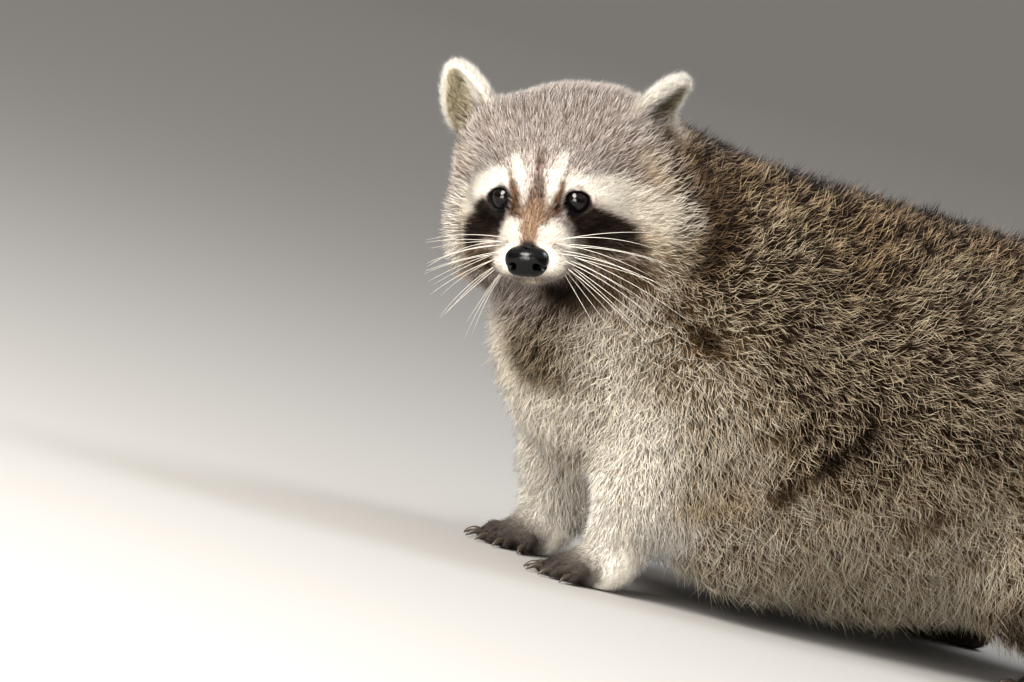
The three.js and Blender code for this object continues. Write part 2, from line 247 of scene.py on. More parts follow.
def foot(kind_toes, at, turn, *shapes):
    spot = frame_at((at[0], at[1], -1.1), turn)
    r = kind_toes["radius"]
    toes = []
    for i in range(5):
        root, knuckle, tip, _ = toe_line(kind_toes, i)
        toes += chain([(root, r * 0.98), (knuckle, r * 1.02), (tip, r * 0.8)])
    return {
        "frame": spot,
        "toes": kind_toes,
        "sole": placed(spot, melted(shapes, BLEND["paw"])),
        "digits": placed(spot, melted(toes, BLEND["toe"])),
    }


FORE_SOLE = [lump((0, 10, 10), (16, 19, 12)), bone((0, -4, 20), 15, (0, 9, 12), 12)]
HIND_SOLE = [bone((0, 0, 15), 17, (0, 34, 12), 14), lump((0, 46, 10), (20, 25, 12))]
PAWS = {
    "forepaw_left": foot(FORE_TOES, WRISTS["left"], -9, *FORE_SOLE),
    "forepaw_right": foot(FORE_TOES, WRISTS["right"], 10, *FORE_SOLE),
    "hindpaw_left": foot(HIND_TOES, HEELS["left"], 9, *HIND_SOLE),
    "hindpaw_right": foot(HIND_TOES, HEELS["right"], -12, *HIND_SOLE),
}

TAIL_LINE = [
    ((0, 222, 172), 30),
    ((2, 272, 128), 33),
    ((12, 312, 78), 37),
    ((38, 342, 43), 39),
    ((88, 352, 37), 38),
    ((138, 338, 33), 35),
    ((176, 308, 28), 30),
    ((194, 284, 22), 23),
]
TAIL = melted(chain(TAIL_LINE), BLEND["tail"])

HEAD = frame_at(HEAD_AT, HEAD_TURN, HEAD_NOD, HEAD_TILT)
SKULL = placed(
    HEAD,
    melted(
        [
            lump((3, -48, 9), (51, 48, 42)),
            lump((0, -19, 3), (37, 33, 27)),
            lump((31, -46, 30), (23, 25, 22)),
            lump((-31, -46, 26), (19, 25, 18)),
            *both(lambda s: lump((s * 25, -14, -2), (19, 19.5, 15))),
            *both(lambda s: lump((s * 36, -43, -25), (32, 33, 31))),
            *both(lambda s: lump((s * 44, -52, 2), (19, 24, 24))),
            *both(lambda s: lump((s * 34, -38, -42), (33, 31, 27))),
            bone((0, -20, -14), 28, (0, 14, -18), 19),
            bone((0, 14, -18.5), 18, (0, 40, -22), 11),
            *both(lambda s: lump((s * 12, 26, -28), (12.5, 16, 10))),
            bone((0, -16, -34), 19, (0, 25, -33.5), 8.5),
        ],
        BLEND["head"],
    ),
)
NOSE = melted(
    [
        lump((0, 42, -21.3), (11.6, 8.5, 6.9)),
        lump((0, 44, -25.6), (8.2, 6.5, 6.4)),
        *both(lambda s: lump((s * 7, 42, -23), (5.4, 7, 5.7))),
    ],
    2.5,
)
NOSE_TIP = (0, 46, -20)
EYES = {
    "left": frame_at((EYE_SPACING / 2, 1, 0), 14, 4, 0, HEAD),
    "right": frame_at((-EYE_SPACING / 2, 1, 0), -14, 4, 0, HEAD),
}
EARS = {
    "left": frame_at((49, -56, 30), 55, -34, 30, HEAD),
    "right": frame_at((-49, -55, 27), -24, 4, -25, HEAD),
}
EAR_HALF = 20
EAR_THICK = 8.5
EAR_TALL = 36


def leaf(half, thick, top, blend, y):
    return melted(
        [
            lump((0, y, top - 30), (half, thick, 24)),
            lump((0, y, top - 16), (half * 0.64, thick * 0.85, 16)),
            lump((0, y, top - 9), (half * 0.36, thick * 0.7, 9)),
        ],
        blend,
    )


OUTER_EAR = leaf(EAR_HALF, EAR_THICK, EAR_TALL, 6, 0)
INNER_EAR = leaf(EAR_HALF - 6, EAR_THICK, EAR_TALL - 5, 4, EAR_THICK)
EAR_SHAPES = [
    placed(spot, lambda p: carve(OUTER_EAR(p), INNER_EAR(p), 2.5)) for spot in EARS.values()
]

PARTS = ("trunk", "foreleg", "hindleg", "tail", "skull", "ear", "paw")
SHARE_WIDTH = 8  # how far one part's coat fades into the next
HEAD_LEAD = (22, 10)  # how far the head's coat spreads over the neck, low down and high up
HEAD_LEAD_HEIGHTS = (-14, 12)


def nearest(shapes, p):
    distances = [shape(p) for shape in shapes]
    return distances, np.minimum.reduce(distances)


def survey(p):
    """The distance to the coat's outer surface, and how much of each part there is at each point."""
    trunk = TRUNK(p)
    fore, near_fore = nearest(FORELEGS, p)
    hind, near_hind = nearest(HINDLEGS, p)
    tail = TAIL(p)
    skull = SKULL(p)
    ears, near_ear = nearest(EAR_SHAPES, p)
    soles, _ = nearest([paw["sole"] for paw in PAWS.values()], p)
    _, near_digit = nearest([paw["digits"] for paw in PAWS.values()], p)
    total = trunk
    for leg in (fore[0], hind[0], fore[1], hind[1]):
        total = melt(total, leg, BLEND["join"])
    total = melt(total, tail, BLEND["tail"])
    head = skull
    for ear in ears:
        head = melt(head, ear, BLEND["ear"])
    total = melt(total, head, BLEND["neck"])
    for sole in soles:
        total = melt(total, sole, BLEND["paw"])
    total = melt(total, near_digit, BLEND["toe"])
    near_paw = np.minimum.reduce([*soles, near_digit])
    lead = np.interp(inside_of(HEAD, p)[2], HEAD_LEAD_HEIGHTS, HEAD_LEAD)
    each = np.stack([trunk, near_fore, near_hind, tail, skull - lead, near_ear - lead, near_paw])
    share = np.exp(-(each - each.min(0)) / SHARE_WIDTH)
    return total, share / share.sum(0)


def animal(p):
    return survey(p)[0]


def by_share(share, values):
    """A value for each point, blended from the values of the parts."""
    return sum(share[i] * values[part] for i, part in enumerate(PARTS))


# ---- how deep the coat is
def head_depth(q):
    """The coat's depth on the head, from a point measured in the head's frame."""
    left, forward, up = q
    wide = np.abs(left)
    crown = 4.0 * ramp(-forward, -6, 34)
    ruff = 8.5 * ramp(wide, 34, 62) * ramp(-up, -12, 20) * ramp(-forward, 2, 30)
    nape = 4.0 * ramp(-forward, 56, 84)
    depth = 1.5 + crown + ruff + nape
    for s in SIDES.values():
        eye = lengths(q - column((s * EYE_SPACING / 2, 4, 1)))
        depth = np.minimum(depth, 1.0 + 0.22 * np.maximum(eye - 10, 0))
    return depth


def coat_depth(p, share):
    """How far the skin lies under the tips of the coat."""
    height = p[2]
    depths = {
        "trunk": np.interp(height, (40, 90, 190, 250), (23, 16, 14, 10.5)),
        "foreleg": np.interp(height, (22, 60, 110, 160), (2.5, 7, 12, 15)),
        "hindleg": np.interp(height, (22, 60, 120), (3, 9, 14)),
        "tail": 12.5,
        "skull": head_depth(inside_of(HEAD, p)),
        "ear": 1.4,
        "paw": 0.7,
    }
    return by_share(share, depths).astype(np.float32)


# ---- the skin
LID_RADIUS = 9.3
LID_OPENING = lump((0, 8, -0.2), (9.0, 9.5, 7.0))
INNER_CORNER = lump((0, 8.5, -2.2), (4.6, 6, 2.2))
MOUTH_LINE = [(0, 46, -29.5), (8, 40, -34.5), (16, 26, -37), (22, 10, -37), (27, 0, -33)]
MOUTH_SHAPES = [
    bone((s * a[0], *a[1:]), 0.9, (s * b[0], *b[1:]), 0.9)
    for s in SIDES.values()
    for a, b in zip(MOUTH_LINE, MOUTH_LINE[1:])
]
MOUTH = placed(HEAD, melted(MOUTH_SHAPES, 0.5))
NOSE_SEAT = placed(HEAD, lambda p: NOSE(p) + 1.2)


def corner_at(side):
    """The inner corner of an eye's opening, which points down towards the nose."""
    return EYES[side] @ Matrix.Translation((-SIDES[side] * 7.2, 0, 0))


def skin(p):
    total, share = survey(p)
    total = total + coat_depth(p, share)
    for side, eye in EYES.items():
        q = inside_of(eye, p)
        total = melt(total, lengths(q) - LID_RADIUS, 2.5)
        total = carve(total, LID_OPENING(q), 0.9)
        total = carve(total, INNER_CORNER(inside_of(corner_at(side), p)), 0.9)
    total = carve(total, MOUTH(p), 1.6)
    total = carve(total, NOSE_SEAT(p), 1)
    return np.maximum(total, SOLE_LEVEL - p[2])


def measured(shape, p):
    """A shape's distances at many points, worked out in pieces on every core."""
    pieces = [p[:, i : i + CHUNK] for i in range(0, p.shape[1], CHUNK)]
    with ThreadPoolExecutor(CORES) as pool:
        return np.concatenate(list(pool.map(shape, pieces)), axis=-1)


def slope(shape, p, step=0.25):
    """The distance at each point and the way in which it grows."""
    here = measured(shape, p)
    ahead = [measured(shape, p + column(np.eye(3)[axis] * step)) for axis in range(3)]
    return here, (np.stack(ahead) - here) / step


def settled(shape, p, level=0, turns=3, reach=3.0):
    """The points moved along the slope until their distance is the level asked for."""
    for _ in range(turns):
        here, way = slope(shape, p)
        step = way * ((here - level) / (lengths(way) ** 2))
        far = lengths(step)
        p = p - step * np.minimum(1, reach / far)
    return p


# ---- from a distance to a mesh
BLOCK = 4  # cells along each side of a block, which is skipped when it is far from the surface
CORNERS = [(c & 1, (c >> 1) & 1, c >> 2) for c in range(8)]


def net(shape, low, high, step):
    """Surface nets: one vertex in each cell that the surface crosses, and a quad for each edge."""
    blocks = [math.ceil((b - a) / step / BLOCK) for a, b in zip(low, high)]
    count = [n * BLOCK for n in blocks]

    def points(index, offset=0.0):
        return np.stack([low[i] + step * (index[i] + offset) for i in range(3)]).astype(np.float32)

    starts = np.indices(blocks).reshape(3, -1) * BLOCK
    centres = measured(shape, points(starts, (BLOCK - 1) / 2))
    rough = centres.reshape(blocks)
    for axis in range(3):
        rough = rough.repeat(BLOCK, axis)
    values = rough.astype(np.float32)
    index = np.array(np.nonzero(np.abs(rough) < step * (BLOCK + 1)))
    values[tuple(index)] = measured(shape, points(index))
    inside = values < 0
    window = tuple(slice(0, n - 1) for n in count)

    def shifted(array, offset):
        return array[tuple(slice(o, n - 1 + o) for o, n in zip(offset, count))]

    filled = sum(shifted(inside, corner).astype(np.uint8) for corner in CORNERS)
    cells = np.array(np.nonzero((filled > 0) & (filled < 8)))
    number = np.full(count, -1)
    number[window][tuple(cells)] = np.arange(cells.shape[1])
    at_corner = {c: values[tuple(cells + np.array(c)[:, None])] for c in CORNERS}
    total = np.zeros(cells.shape, np.float32)
    crossings = np.zeros(cells.shape[1], np.float32)
    for corner in CORNERS:
        for axis in range(3):
            if corner[axis]:
                continue
            other = tuple(1 if i == axis else v for i, v in enumerate(corner))
            a, b = at_corner[corner], at_corner[other]
            crossed = (a < 0) != (b < 0)
            spot = np.repeat(column(corner), len(a), 1)
            spot[axis] = np.where(crossed, a / np.where(crossed, a - b, 1), 0)
            total += spot * crossed
            crossings += crossed
    verts = points(cells) + total / crossings * step
    quads = []
    for axis in range(3):
        ahead = np.roll(inside, -1, axis)
        edges = np.array(np.nonzero((inside != ahead)[window]))
        edges = edges[:, (edges > 0).all(0)]
        u, v = np.eye(3, dtype=int)[(axis + 1) % 3], np.eye(3, dtype=int)[(axis + 2) % 3]
        around = [u * i + v * j for i, j in ((0, 0), (1, 0), (1, 1), (0, 1))]
        ring = np.stack([number[tuple(edges - back[:, None])] for back in around], 1)
        out = inside[tuple(edges)]
        quads.append(np.where(out[:, None], ring, ring[:, ::-1]))
    return settled(shape, verts, turns=2, reach=step / 2), np.concatenate(quads)


def to_bmesh(verts, faces):
    bm = bmesh.new()
    made = [bm.verts.new(v) for v in verts.T.tolist()]
    for face in faces.tolist():
        bm.faces.new([made[i] for i in face])
    return bm


def bmesh_points(bm):
    return np.array([v.co for v in bm.verts], dtype=np.float32).T


def taken(bm):
    """The points and the triangles of a mesh that isn't needed any more."""
    bmesh.ops.triangulate(bm, faces=bm.faces)
    bm.verts.index_update()
    p = bmesh_points(bm)
    faces = np.array([[v.index for v in face.verts] for face in bm.faces])
    bm.free()
    return p, faces


def refine(bm, region, shape, reach):
    """Halves the edges inside a region and brings every vertex there back to the surface."""
    bm.verts.ensure_lookup_table()
    chosen = region(bmesh_points(bm))
    edges = [e for e in bm.edges if chosen[e.verts[0].index] and chosen[e.verts[1].index]]
    bmesh.ops.subdivide_edges(bm, edges=edges, cuts=1, use_grid_fill=True)
    bm.verts.ensure_lookup_table()
    bm.verts.index_update()
    p = bmesh_points(bm)
    near = np.nonzero(region(p))[0]
    for i, spot in zip(near.tolist(), settled(shape, p[:, near], reach=reach).T.tolist()):
        bm.verts[i].co = spot


def head_region(p):
    q = inside_of(HEAD, p) - column((0, -30, 5))
    return lengths(q) < 92


def detail_region(p):
    q = inside_of(HEAD, p)
    eye = np.minimum(*[lengths(q - column((s * EYE_SPACING / 2, 6, 0))) for s in SIDES.values()])
    muzzle = (q[1] > 4) & (q[2] < -6) & (np.abs(q[0]) < 30) & (q[2] > -50)
    return (eye < 14) | muzzle


def paw_region(p):
    return (p[2] < 34) & (measured(lambda q: nearest([f["digits"] for f in PAWS.values()], q)[1], p) < 16)


# ---- from the animal's axes to the row's
def row_shift():
    """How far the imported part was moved, from where its left eye is."""
    low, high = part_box("eye_left")
    centre = (Vector(low) + Vector(high)) / 2 * METRE
    return centre - EYES["left"].to_translation()


SHIFT = np.array(row_shift(), dtype=np.float32)[:, None]


def to_row(p):
    return (p + SHIFT) / METRE


ROOT = "root"


def add_object(name, data):
    made = bpy.data.objects.new(name, data)
    bpy.context.scene.collection.objects.link(made)
    return made


def make_mesh(name, verts, faces, material, colours=None):
    """A mesh object from points in columns, faces of one size and a colour for each point."""
    faces = np.asarray(faces, dtype=np.int32)
    sides = faces.shape[1]
    mesh = bpy.data.meshes.new(name)
    mesh.vertices.add(verts.shape[1])
    mesh.vertices.foreach_set("co", to_row(verts).T.astype(np.float32).ravel())
    mesh.loops.add(faces.size)
    mesh.loops.foreach_set("vertex_index", faces.ravel())
    mesh.polygons.add(len(faces))
    mesh.polygons.foreach_set("loop_start", np.arange(0, faces.size, sides, dtype=np.int32))
    mesh.polygons.foreach_set("use_smooth", np.ones(len(faces), dtype=bool))
    mesh.update(calc_edges=True)
    if colours is not None:
        layer = mesh.color_attributes.new("Coat", "FLOAT_COLOR", "POINT")
        rgba = np.concatenate([colours, np.ones((1, colours.shape[1]))]).T
        layer.data.foreach_set("color", rgba.astype(np.float32).ravel())
    mesh.materials.append(MATERIALS[material])
    return add_object(name, mesh)


def moved_out(matrix, p, faces):
    """A mesh made in a frame, in the animal's axes, with its faces still facing out."""
    return applied(matrix, p), faces if matrix.determinant() > 0 else faces[:, ::-1]


# ---- tones of the coat
def linear(hex_colour):
    """An sRGB colour such as "8a7a66" as linear values."""
    values = np.array([int(hex_colour[i : i + 2], 16) / 255 for i in (0, 2, 4)])
    return np.where(values < 0.04045, values / 12.92, ((values + 0.055) / 1.055) ** 2.4)


def tone(root, pale, dark, share):
    """A tone of the coat: the hairs' roots, pale tips, dark tips, and the share of pale ones."""
    return np.concatenate([linear(root), linear(pale), linear(dark), [share]])


# Each tone's roots, pale tips and dark tips, and the share of its tips that are pale.
TONE_ROWS = {
    "back": ("0c0805", "e6bd8e", "1d120a", 0.30),
    "ridge": ("0a090b", "948a84", "14110f", 0.24),
    "saddle": ("0c0704", "eec89a", "20140b", 0.27),
    "flank": ("130b06", "fde4c0", "342110", 0.48),
    # painted shade: dark fur laid in the folds of the flank, behind the shoulder and at the ear's base
    "crease": ("080503", "6e5a42", "100a06", 0.18),
    "fringe": ("402b17", "fff0d4", "8f693d", 0.78),
    "buff": ("543e26", "fff4dc", "9a7a50", 0.72),
    "cream": ("e0d2ba", "fffdf6", "f8efdc", 0.92),
    "tan": ("5a4430", "e6c8a0", "8a6844", 0.72),
    # painted shade: darker grey-brown fur for the hollow of the chest between the forelegs and for the
    # chin under the mouth
    "chest": ("1c1510", "cfbc9a", "3e3125", 0.42),
    # dark fur with painted shadow, in a band under the chin
    "throat": ("040302", "2a1b11", "0a0604", 0.20),
    "grizzle": ("402c24", "fff2e8", "7a604f", 0.72),
    "cheek": ("a08c70", "fff8ea", "dcc6a2", 0.84),
    "shade": ("0b0704", "a07f58", "1a110a", 0.30),
    "mask": ("080504", "5a4434", "140d09", 0.20),
    "stripe": ("2a1f1b", "9a8474", "43342e", 0.50),
    "brown": ("22150e", "8a6648", "3a2516", 0.45),
    "bridge": ("54402f", "b39378", "735c48", 0.68),
    "russet": ("4a3020", "c4976c", "7a553a", 0.65),
    "white": ("dccfb9", "fffdf7", "f6ecda", 0.92),
    "muzzle": ("dccfb9", "fbf5ea", "f0e6d4", 0.90),
    "nose_skin": ("0a090b", "131116", "0a090b", 0.50),
    "ear_edge": ("b8ad98", "fffaf0", "e2d9c6", 0.90),
    "ear_back": ("3a2e24", "cfbd9c", "5a4a3a", 0.60),
    "ear_inner": ("2c261c", "c4b898", "50482f", 0.50),
    "paw": ("171312", "4b403a", "1d1816", 0.40),
    "ankle": ("d2c5ae", "fffdf8", "f2e8d6", 0.92),
    "ring": ("14100c", "4a3a2c", "1b1512", 0.35),
    "between": ("5b4a36", "e0cfae", "7b664a", 0.75),
}
TONES = {name: tone(*row)[:, None] for name, row in TONE_ROWS.items()}


WAVES = 6


def wobble(p, size, seed):
    """Smooth noise from -1 to 1, whose bumps are about the size given."""
    steady = np.random.default_rng(seed)
    total = np.zeros(p.shape[1])
    for _ in range(WAVES):
        way = steady.normal(size=(1, 3)) * (2.2 / size)
        total += np.sin((way @ p)[0] + steady.uniform(0, 6.3))
    return total / 3.2


RAGGED = 0.35  # how far a stroke's edge wanders, as a share of its softness


def brushed(tones, p, name, soft, line):
    """Tones with a stroke of another tone along a line of spots, as a brush would paint it."""
    bones = chain([(spot[:3], spot[3]) for spot in line])
    distance = np.minimum.reduce([shape(p) for shape in bones])
    distance = distance + wobble(p, soft * 1.6, 11) * soft * RAGGED
    cover = 1 - ramp(distance, -soft / 2, soft / 2)
    return mixed(tones, TONES[name], cover)


# Strokes on the body, in the animal's axes: the tone, the softness of its edge, and a line of
# spots, each with its radius.
BODY_STROKES = [
    ("saddle", 50, [(0, -150, 205, 60), (0, 200, 205, 70)]),
    ("back", 40, [(60, -190, 215, 34), (-60, -190, 215, 34)]),
    ("fringe", 60, [(0, -60, 20, 90), (0, 150, 20, 96)]),
    ("buff", 60, [(0, -190, 110, 56), (0, -150, 60, 70)]),
    ("cream", 30, [(-30, -228, 138, 24), (0, -224, 105, 26), (10, -205, 78, 30)]),
    # Painted shade in the hollow of the chest between the forelegs, under the chin.
    ("chest", 24, [(2, -230, 128, 11), (26, -224, 122, 22), (44, -216, 114, 20), (58, -206, 120, 14)]),
    # Dark fur and painted shadow in a band under the chin.
    ("throat", 14, [(-26, -240, 156, 5), (10, -238, 154, 8), (34, -228, 154, 12), (48, -218, 158, 13),
                    (60, -209, 162, 11)]),
    ("ridge", 28, [(0, -150, 256, 24), (0, 60, 254, 27), (0, 185, 243, 11)]),
]
SIDE_STROKES = [
    ("fringe", 50, [(104, -90, 42, 46), (114, 40, 48, 56), (106, 150, 58, 52)]),
    ("buff", 55, [(78, -185, 140, 30), (92, -150, 110, 42), (92, -125, 60, 50)]),
    ("cream", 34, [(66, -190, 122, 22), (60, -172, 84, 36), (58, -150, 40, 50)]),
    ("tan", 28, [(108, -109, 65, 11), (94, -126, 54, 9)]),
    # Painted shade in the folds of the flank and behind the shoulder.
    ("crease", 13, [(117, -86, 78, 6), (122, -65, 106, 8), (125, -45, 132, 5)]),
    ("crease", 12, [(119, -12, 62, 4), (126, 12, 88, 5)]),
    ("crease", 14, [(90, -172, 162, 5), (102, -148, 153, 6)]),
    ("shade", 24, [(44, -158, 250, 11), (60, -160, 238, 14), (76, -160, 220, 14), (88, -158, 196, 10)]),
]
# Strokes on the head, in the head's frame, for the left side and its mirror image.
HEAD_STROKES = [
    ("cheek", 18, [(58, -24, -20, 14), (72, -16, -30, 19), (84, -10, -40, 18)]),
    ("cheek", 14, [(58, -18, -44, 12), (72, 0, -52, 12)]),
    ("russet", 9, [(58, -30, 10, 4), (68, -26, 0, 4)]),
    ("russet", 10, [(56, -16, -54, 5), (66, 4, -50, 6)]),
    ("shade", 10, [(80, -58, 14, 8), (90, -38, 2, 8), (98, -20, -16, 8), (100, -4, -36, 6)]),
    ("cheek", 12, [(60, -32, 14, 8), (71, -30, 3, 10), (78, -20, -12, 11), (80, -6, -28, 11)]),
    ("white", 12, [(58, -20, -14, 6), (60, -16, -30, 7), (58, -16, -42, 4)]),
    ("white", 7, [(22, 4, 12.5, 5.4), (36, -2, 8.5, 9), (50, -13, -0.5, 12.5), (63, -18, -9, 14),
                  (80, -20, -16, 14)]),
    ("mask", 4, [(24, 9, -4, 7.6), (31, 4, -11, 10.8), (38, -1, -20, 13), (48, -4, -25, 12),
                 (57, -4, -29, 8)]),
    ("shade", 10, [(24, 2, -41, 12), (44, 2, -44, 13), (60, 2, -43, 10)]),
    ("brown", 3, [(17.5, 4, 18, 1.5), (14.5, 9, 12.5, 2.2), (13, 13, 6, 3.2), (12.5, 16, 0, 4.5)]),
    ("white", 5, [(15, -3, 27, 2.0), (11.5, 6, 18, 3.2), (9.5, 11, 11, 3.0), (8, 15, 5, 1.6)]),
    ("brown", 4, [(13, 18, -2, 2.5), (7, 25, -3, 3)]),
    # Painted shade in the fold at the ear's base.
    ("crease", 8, [(66, -54, 24, 4), (76, -50, 16, 3)]),
    ("muzzle", 5, [(10, 34, -10, 5), (13, 26, -11, 7.5), (16, 18, -19, 8.2), (17, 13, -29, 8.4)]),
    ("muzzle", 5, [(12, 34, -25, 8.5), (15, 24, -33, 8)]),
    ("muzzle", 4, [(10, 40, -18, 6), (13, 38, -28, 8)]),
]
MIDDLE_STROKES = [
    ("white", 10, [(-60, -26, -8, 6), (-64, -20, -26, 8), (-60, -20, -44, 6)]),
    # Dark fur and painted shadow just under the chin.
    ("throat", 9, [(-6, 4, -58, 4), (14, 9, -57, 9), (34, 12, -55, 8)]),
    # Painted shade on the chin, under the mouth.
    ("chest", 5, [(-6, 34, -39, 4), (6, 34, -39, 4)]),
    ("cheek", 6, [(0, 30, -40, 6), (0, 22, -44, 6)]),
    ("stripe", 5, [(0, -14, 39, 1.2), (0, 2, 25, 2.4), (0, 8, 18, 3.8), (0, 13, 11, 5.2), (0, 19, 3, 7)]),
    ("bridge", 6, [(0, 22, 1, 7), (0, 33, -6, 7), (0, 40, -11, 6)]),
    ("nose_skin", 2, [(0, 42, -21.5, 10.5), (0, 44, -26, 8.5)]),
]


def mirrored(line, s):
    return [(s * x, *rest) for x, *rest in line]


def head_tones(q):
    tones = np.repeat(TONES["grizzle"], q.shape[1], 1)
    for stroke in HEAD_STROKES:
        for s in SIDES.values():
            tones = brushed(tones, q, *stroke[:2], mirrored(stroke[2], s))
    for stroke in MIDDLE_STROKES:
        tones = brushed(tones, q, *stroke)
    for s in SIDES.values():
        rim = lengths(q - column((s * EYE_SPACING / 2, 2, 0))) + 0.8 * wobble(q, 4, 5)
        tones = mixed(tones, TONES["nose_skin"], 1 - ramp(rim, 9.8, 12.0))
    return tones


def body_tones(p):
    tones = np.repeat(TONES["flank"], p.shape[1], 1)
    for stroke in BODY_STROKES:
        tones = brushed(tones, p, *stroke)
    for stroke in SIDE_STROKES:
        for s in SIDES.values():
            tones = brushed(tones, p, *stroke[:2], mirrored(stroke[2], s))
    return tones


EAR_TONE_NAMES = ("ear_back", "ear_inner", "ear_edge", "nose_skin")


def ear_tones(p):
    """A pale rim and front margin round a dark, hairy cup, with a narrow black mark at its foot painted as
    the shade of the ear's opening.
    """
    left = inside_of(HEAD, p)[0] > 0
    back, inner, pale_tone, opening_shade = (TONES[name] for name in EAR_TONE_NAMES)
    tones = np.zeros((len(back), p.shape[1]))
    for side, spot in EARS.items():
        q = inside_of(spot, p)
        inward = -SIDES[side] * q[0]
        edge = np.abs(OUTER_EAR(q * column((1, 0.02, 1))))
        front = ramp(q[1], -1.5, 1.5)
        one = mixed(back, inner, front)
        rim = (1 - ramp(edge, 3, 6.5)) * ramp(q[2], -8, 4)
        margin = ramp(inward + 1.5 * wobble(p, 5, 2), 1, 7) * ramp(q[2], 4, 14)
        pale = np.maximum(rim, np.maximum(margin, ramp(q[2], 12, 24) * (1 - front)))
        one = mixed(one, pale_tone, pale)
        # Painted shade: the ear's opening, as a black mark at the foot of the cup.
        hole = lengths((q - column((-SIDES[side] * 5, 2, 6))) / column((3, 8, 7)))
        one = mixed(one, opening_shade, 1 - ramp(hole, 0.6, 1.1))
        tones = np.where(left == (side == "left"), one, tones)
    return tones


def along_tail(p):
    """How far along the tail each point is, from 0 at its root to 1 at its tip, and the tail's way."""
    best = np.full(p.shape[1], 1e9)
    far = np.zeros(p.shape[1])
    way = np.zeros(p.shape)
    spots = [np.array(spot, dtype=float) for spot, _ in TAIL_LINE]
    steps = [np.linalg.norm(b - a) for a, b in zip(spots, spots[1:])]
    done = 0
    for a, b, step in zip(spots, spots[1:], steps):
        t = np.clip(((b - a) / step @ (p - a[:, None])) / step, 0, 1)
        off = lengths(p - a[:, None] - (b - a)[:, None] * t)
        near = off < best
        best = np.where(near, off, best)
        far = np.where(near, done + t * step, far)
        way = np.where(near, ((b - a) / step)[:, None], way)
        done += step
    return far / sum(steps), way


TAIL_RINGS = 6


def tail_tones(p):
    far, _ = along_tail(p)
    wave = np.cos((far * TAIL_RINGS + 0.55) * 2 * np.pi) + 0.35 * wobble(p, 9, 8)
    dark = ramp(-wave, -0.45, 0.15) * ramp(far, 0.04, 0.14)
    dark = np.maximum(dark, ramp(far, 0.9, 0.94))
    return mixed(TONES["between"], TONES["ring"], dark)


def paw_tones(p):
    """Dark hands and feet, with pale fur on the back half of the hands."""
    cover = np.zeros(p.shape[1])
    for name, f in PAWS.items():
        if name.startswith("fore"):
            q = inside_of(f["frame"], p)
            near = lengths(q) < 70
            cover = np.where(near, 1 - ramp(q[1] + 2 * wobble(p, 6, 4), 3, 10), cover)
    return mixed(TONES["paw"], TONES["ankle"], cover)


def tones_at(p, share):
    """The coat's tones at each point, blended where one part meets the next."""
    body = body_tones(p)
    by_part = {
        "trunk": body,
        "foreleg": body,
        "hindleg": body,
        "tail": tail_tones(p),
        "skull": head_tones(inside_of(HEAD, p)),
        "ear": ear_tones(p),
        "paw": paw_tones(p),
    }
    low = 1 - ramp(p[2] + 4 * wobble(p, 12, 3), 30, 58)
    for leg, name in (("foreleg", "ankle"), ("hindleg", "ring")):
        by_part[leg] = mixed(by_part[leg], TONES[name], low)
    sharp = share**2
    sharp = sharp / sharp.sum(0)
    return by_share(sharp, by_part)


# ---- the lie of the coat
def combed(p, share):
    """The way in which the hairs lie at each point."""
    x, y, height = p
    q = inside_of(HEAD, p)
    level = np.ones_like(x)
    side = np.tanh(x / 60)
    low = ramp(-height, -225, -90)
    rear = ramp(y, 150, 250)
    chest = ramp(-y, 140, 205) * ramp(-height, -215, -150)
    high = ramp(height, 165, 235)
    down = -0.2 + 0.85 * high - 0.75 * low - 0.6 * rear - chest
    trunk = np.stack([0.25 * side, 1 - 0.25 * high - 0.4 * low - 0.7 * rear - 1.05 * chest, down])
    leg = np.stack([0.08 * side, 0.25 * level, -level])
    from_nose = unit(q - column(NOSE_TIP))
    from_nose[2] -= 0.25 * ramp(np.abs(q[0]), 30, 60) + 0.5 * ramp(-q[2], 20, 50)
    skull = np.array(HEAD, dtype=np.float32)[:3, :3] @ from_nose
    ear = np.zeros_like(p)
    for name, spot in EARS.items():
        local = inside_of(spot, p)
        way = np.stack([local[0] * 0.035, 0.1 * level, level])
        way = np.array(spot, dtype=np.float32)[:3, :3] @ way
        ear = np.where((q[0] > 0) == (name == "left"), way, ear)
    paw = np.zeros_like(p)
    for name, f in PAWS.items():
        here = ((x > 0) == name.endswith("left")) & ((y < 20) == name.startswith("fore"))
        way = directed(f["frame"], (0, 1, -0.25))
        paw = np.where(here, way, paw)
    ways = {"trunk": trunk, "foreleg": leg, "hindleg": leg, "tail": along_tail(p)[1]}
    ways |= {"skull": skull, "ear": ear, "paw": paw}
    return sum(share[i] * unit(ways[part]) for i, part in enumerate(PARTS))


def hair_length(p, share, depth):
    face = 4.2 + 1.7 * np.maximum(depth - 1.4, 0)
    lengths_of = {
        "trunk": np.interp(p[2], (50, 110, 180, 245), (31, 22, 15.5, 13)),
        "foreleg": np.interp(p[2], (25, 60, 120), (7, 18, 25)),
        "hindleg": np.interp(p[2], (25, 60, 120), (8, 20, 26)),
        "tail": 27,
        "skull": np.minimum(face, 23),
        "ear": 8.5,
        "paw": 3.6,
    }
    return by_share(share, lengths_of)


def loft(p):
    """How far past the coat's outer surface the loosest hairs of each part stand."""
    _, y, height = p
    bib = 7 * ramp(-y, 180, 222) * ramp(height, 60, 90) * ramp(-height, -190, -160)
    return {
        "trunk": np.interp(height, (30, 90, 180, 235), (9, 5, 3.5, 8)) + bib,
        "foreleg": 6,
        "hindleg": 5,
        "tail": 6,
        "skull": 2.0,
        "ear": 4.0,
        "paw": 0.3,
    }


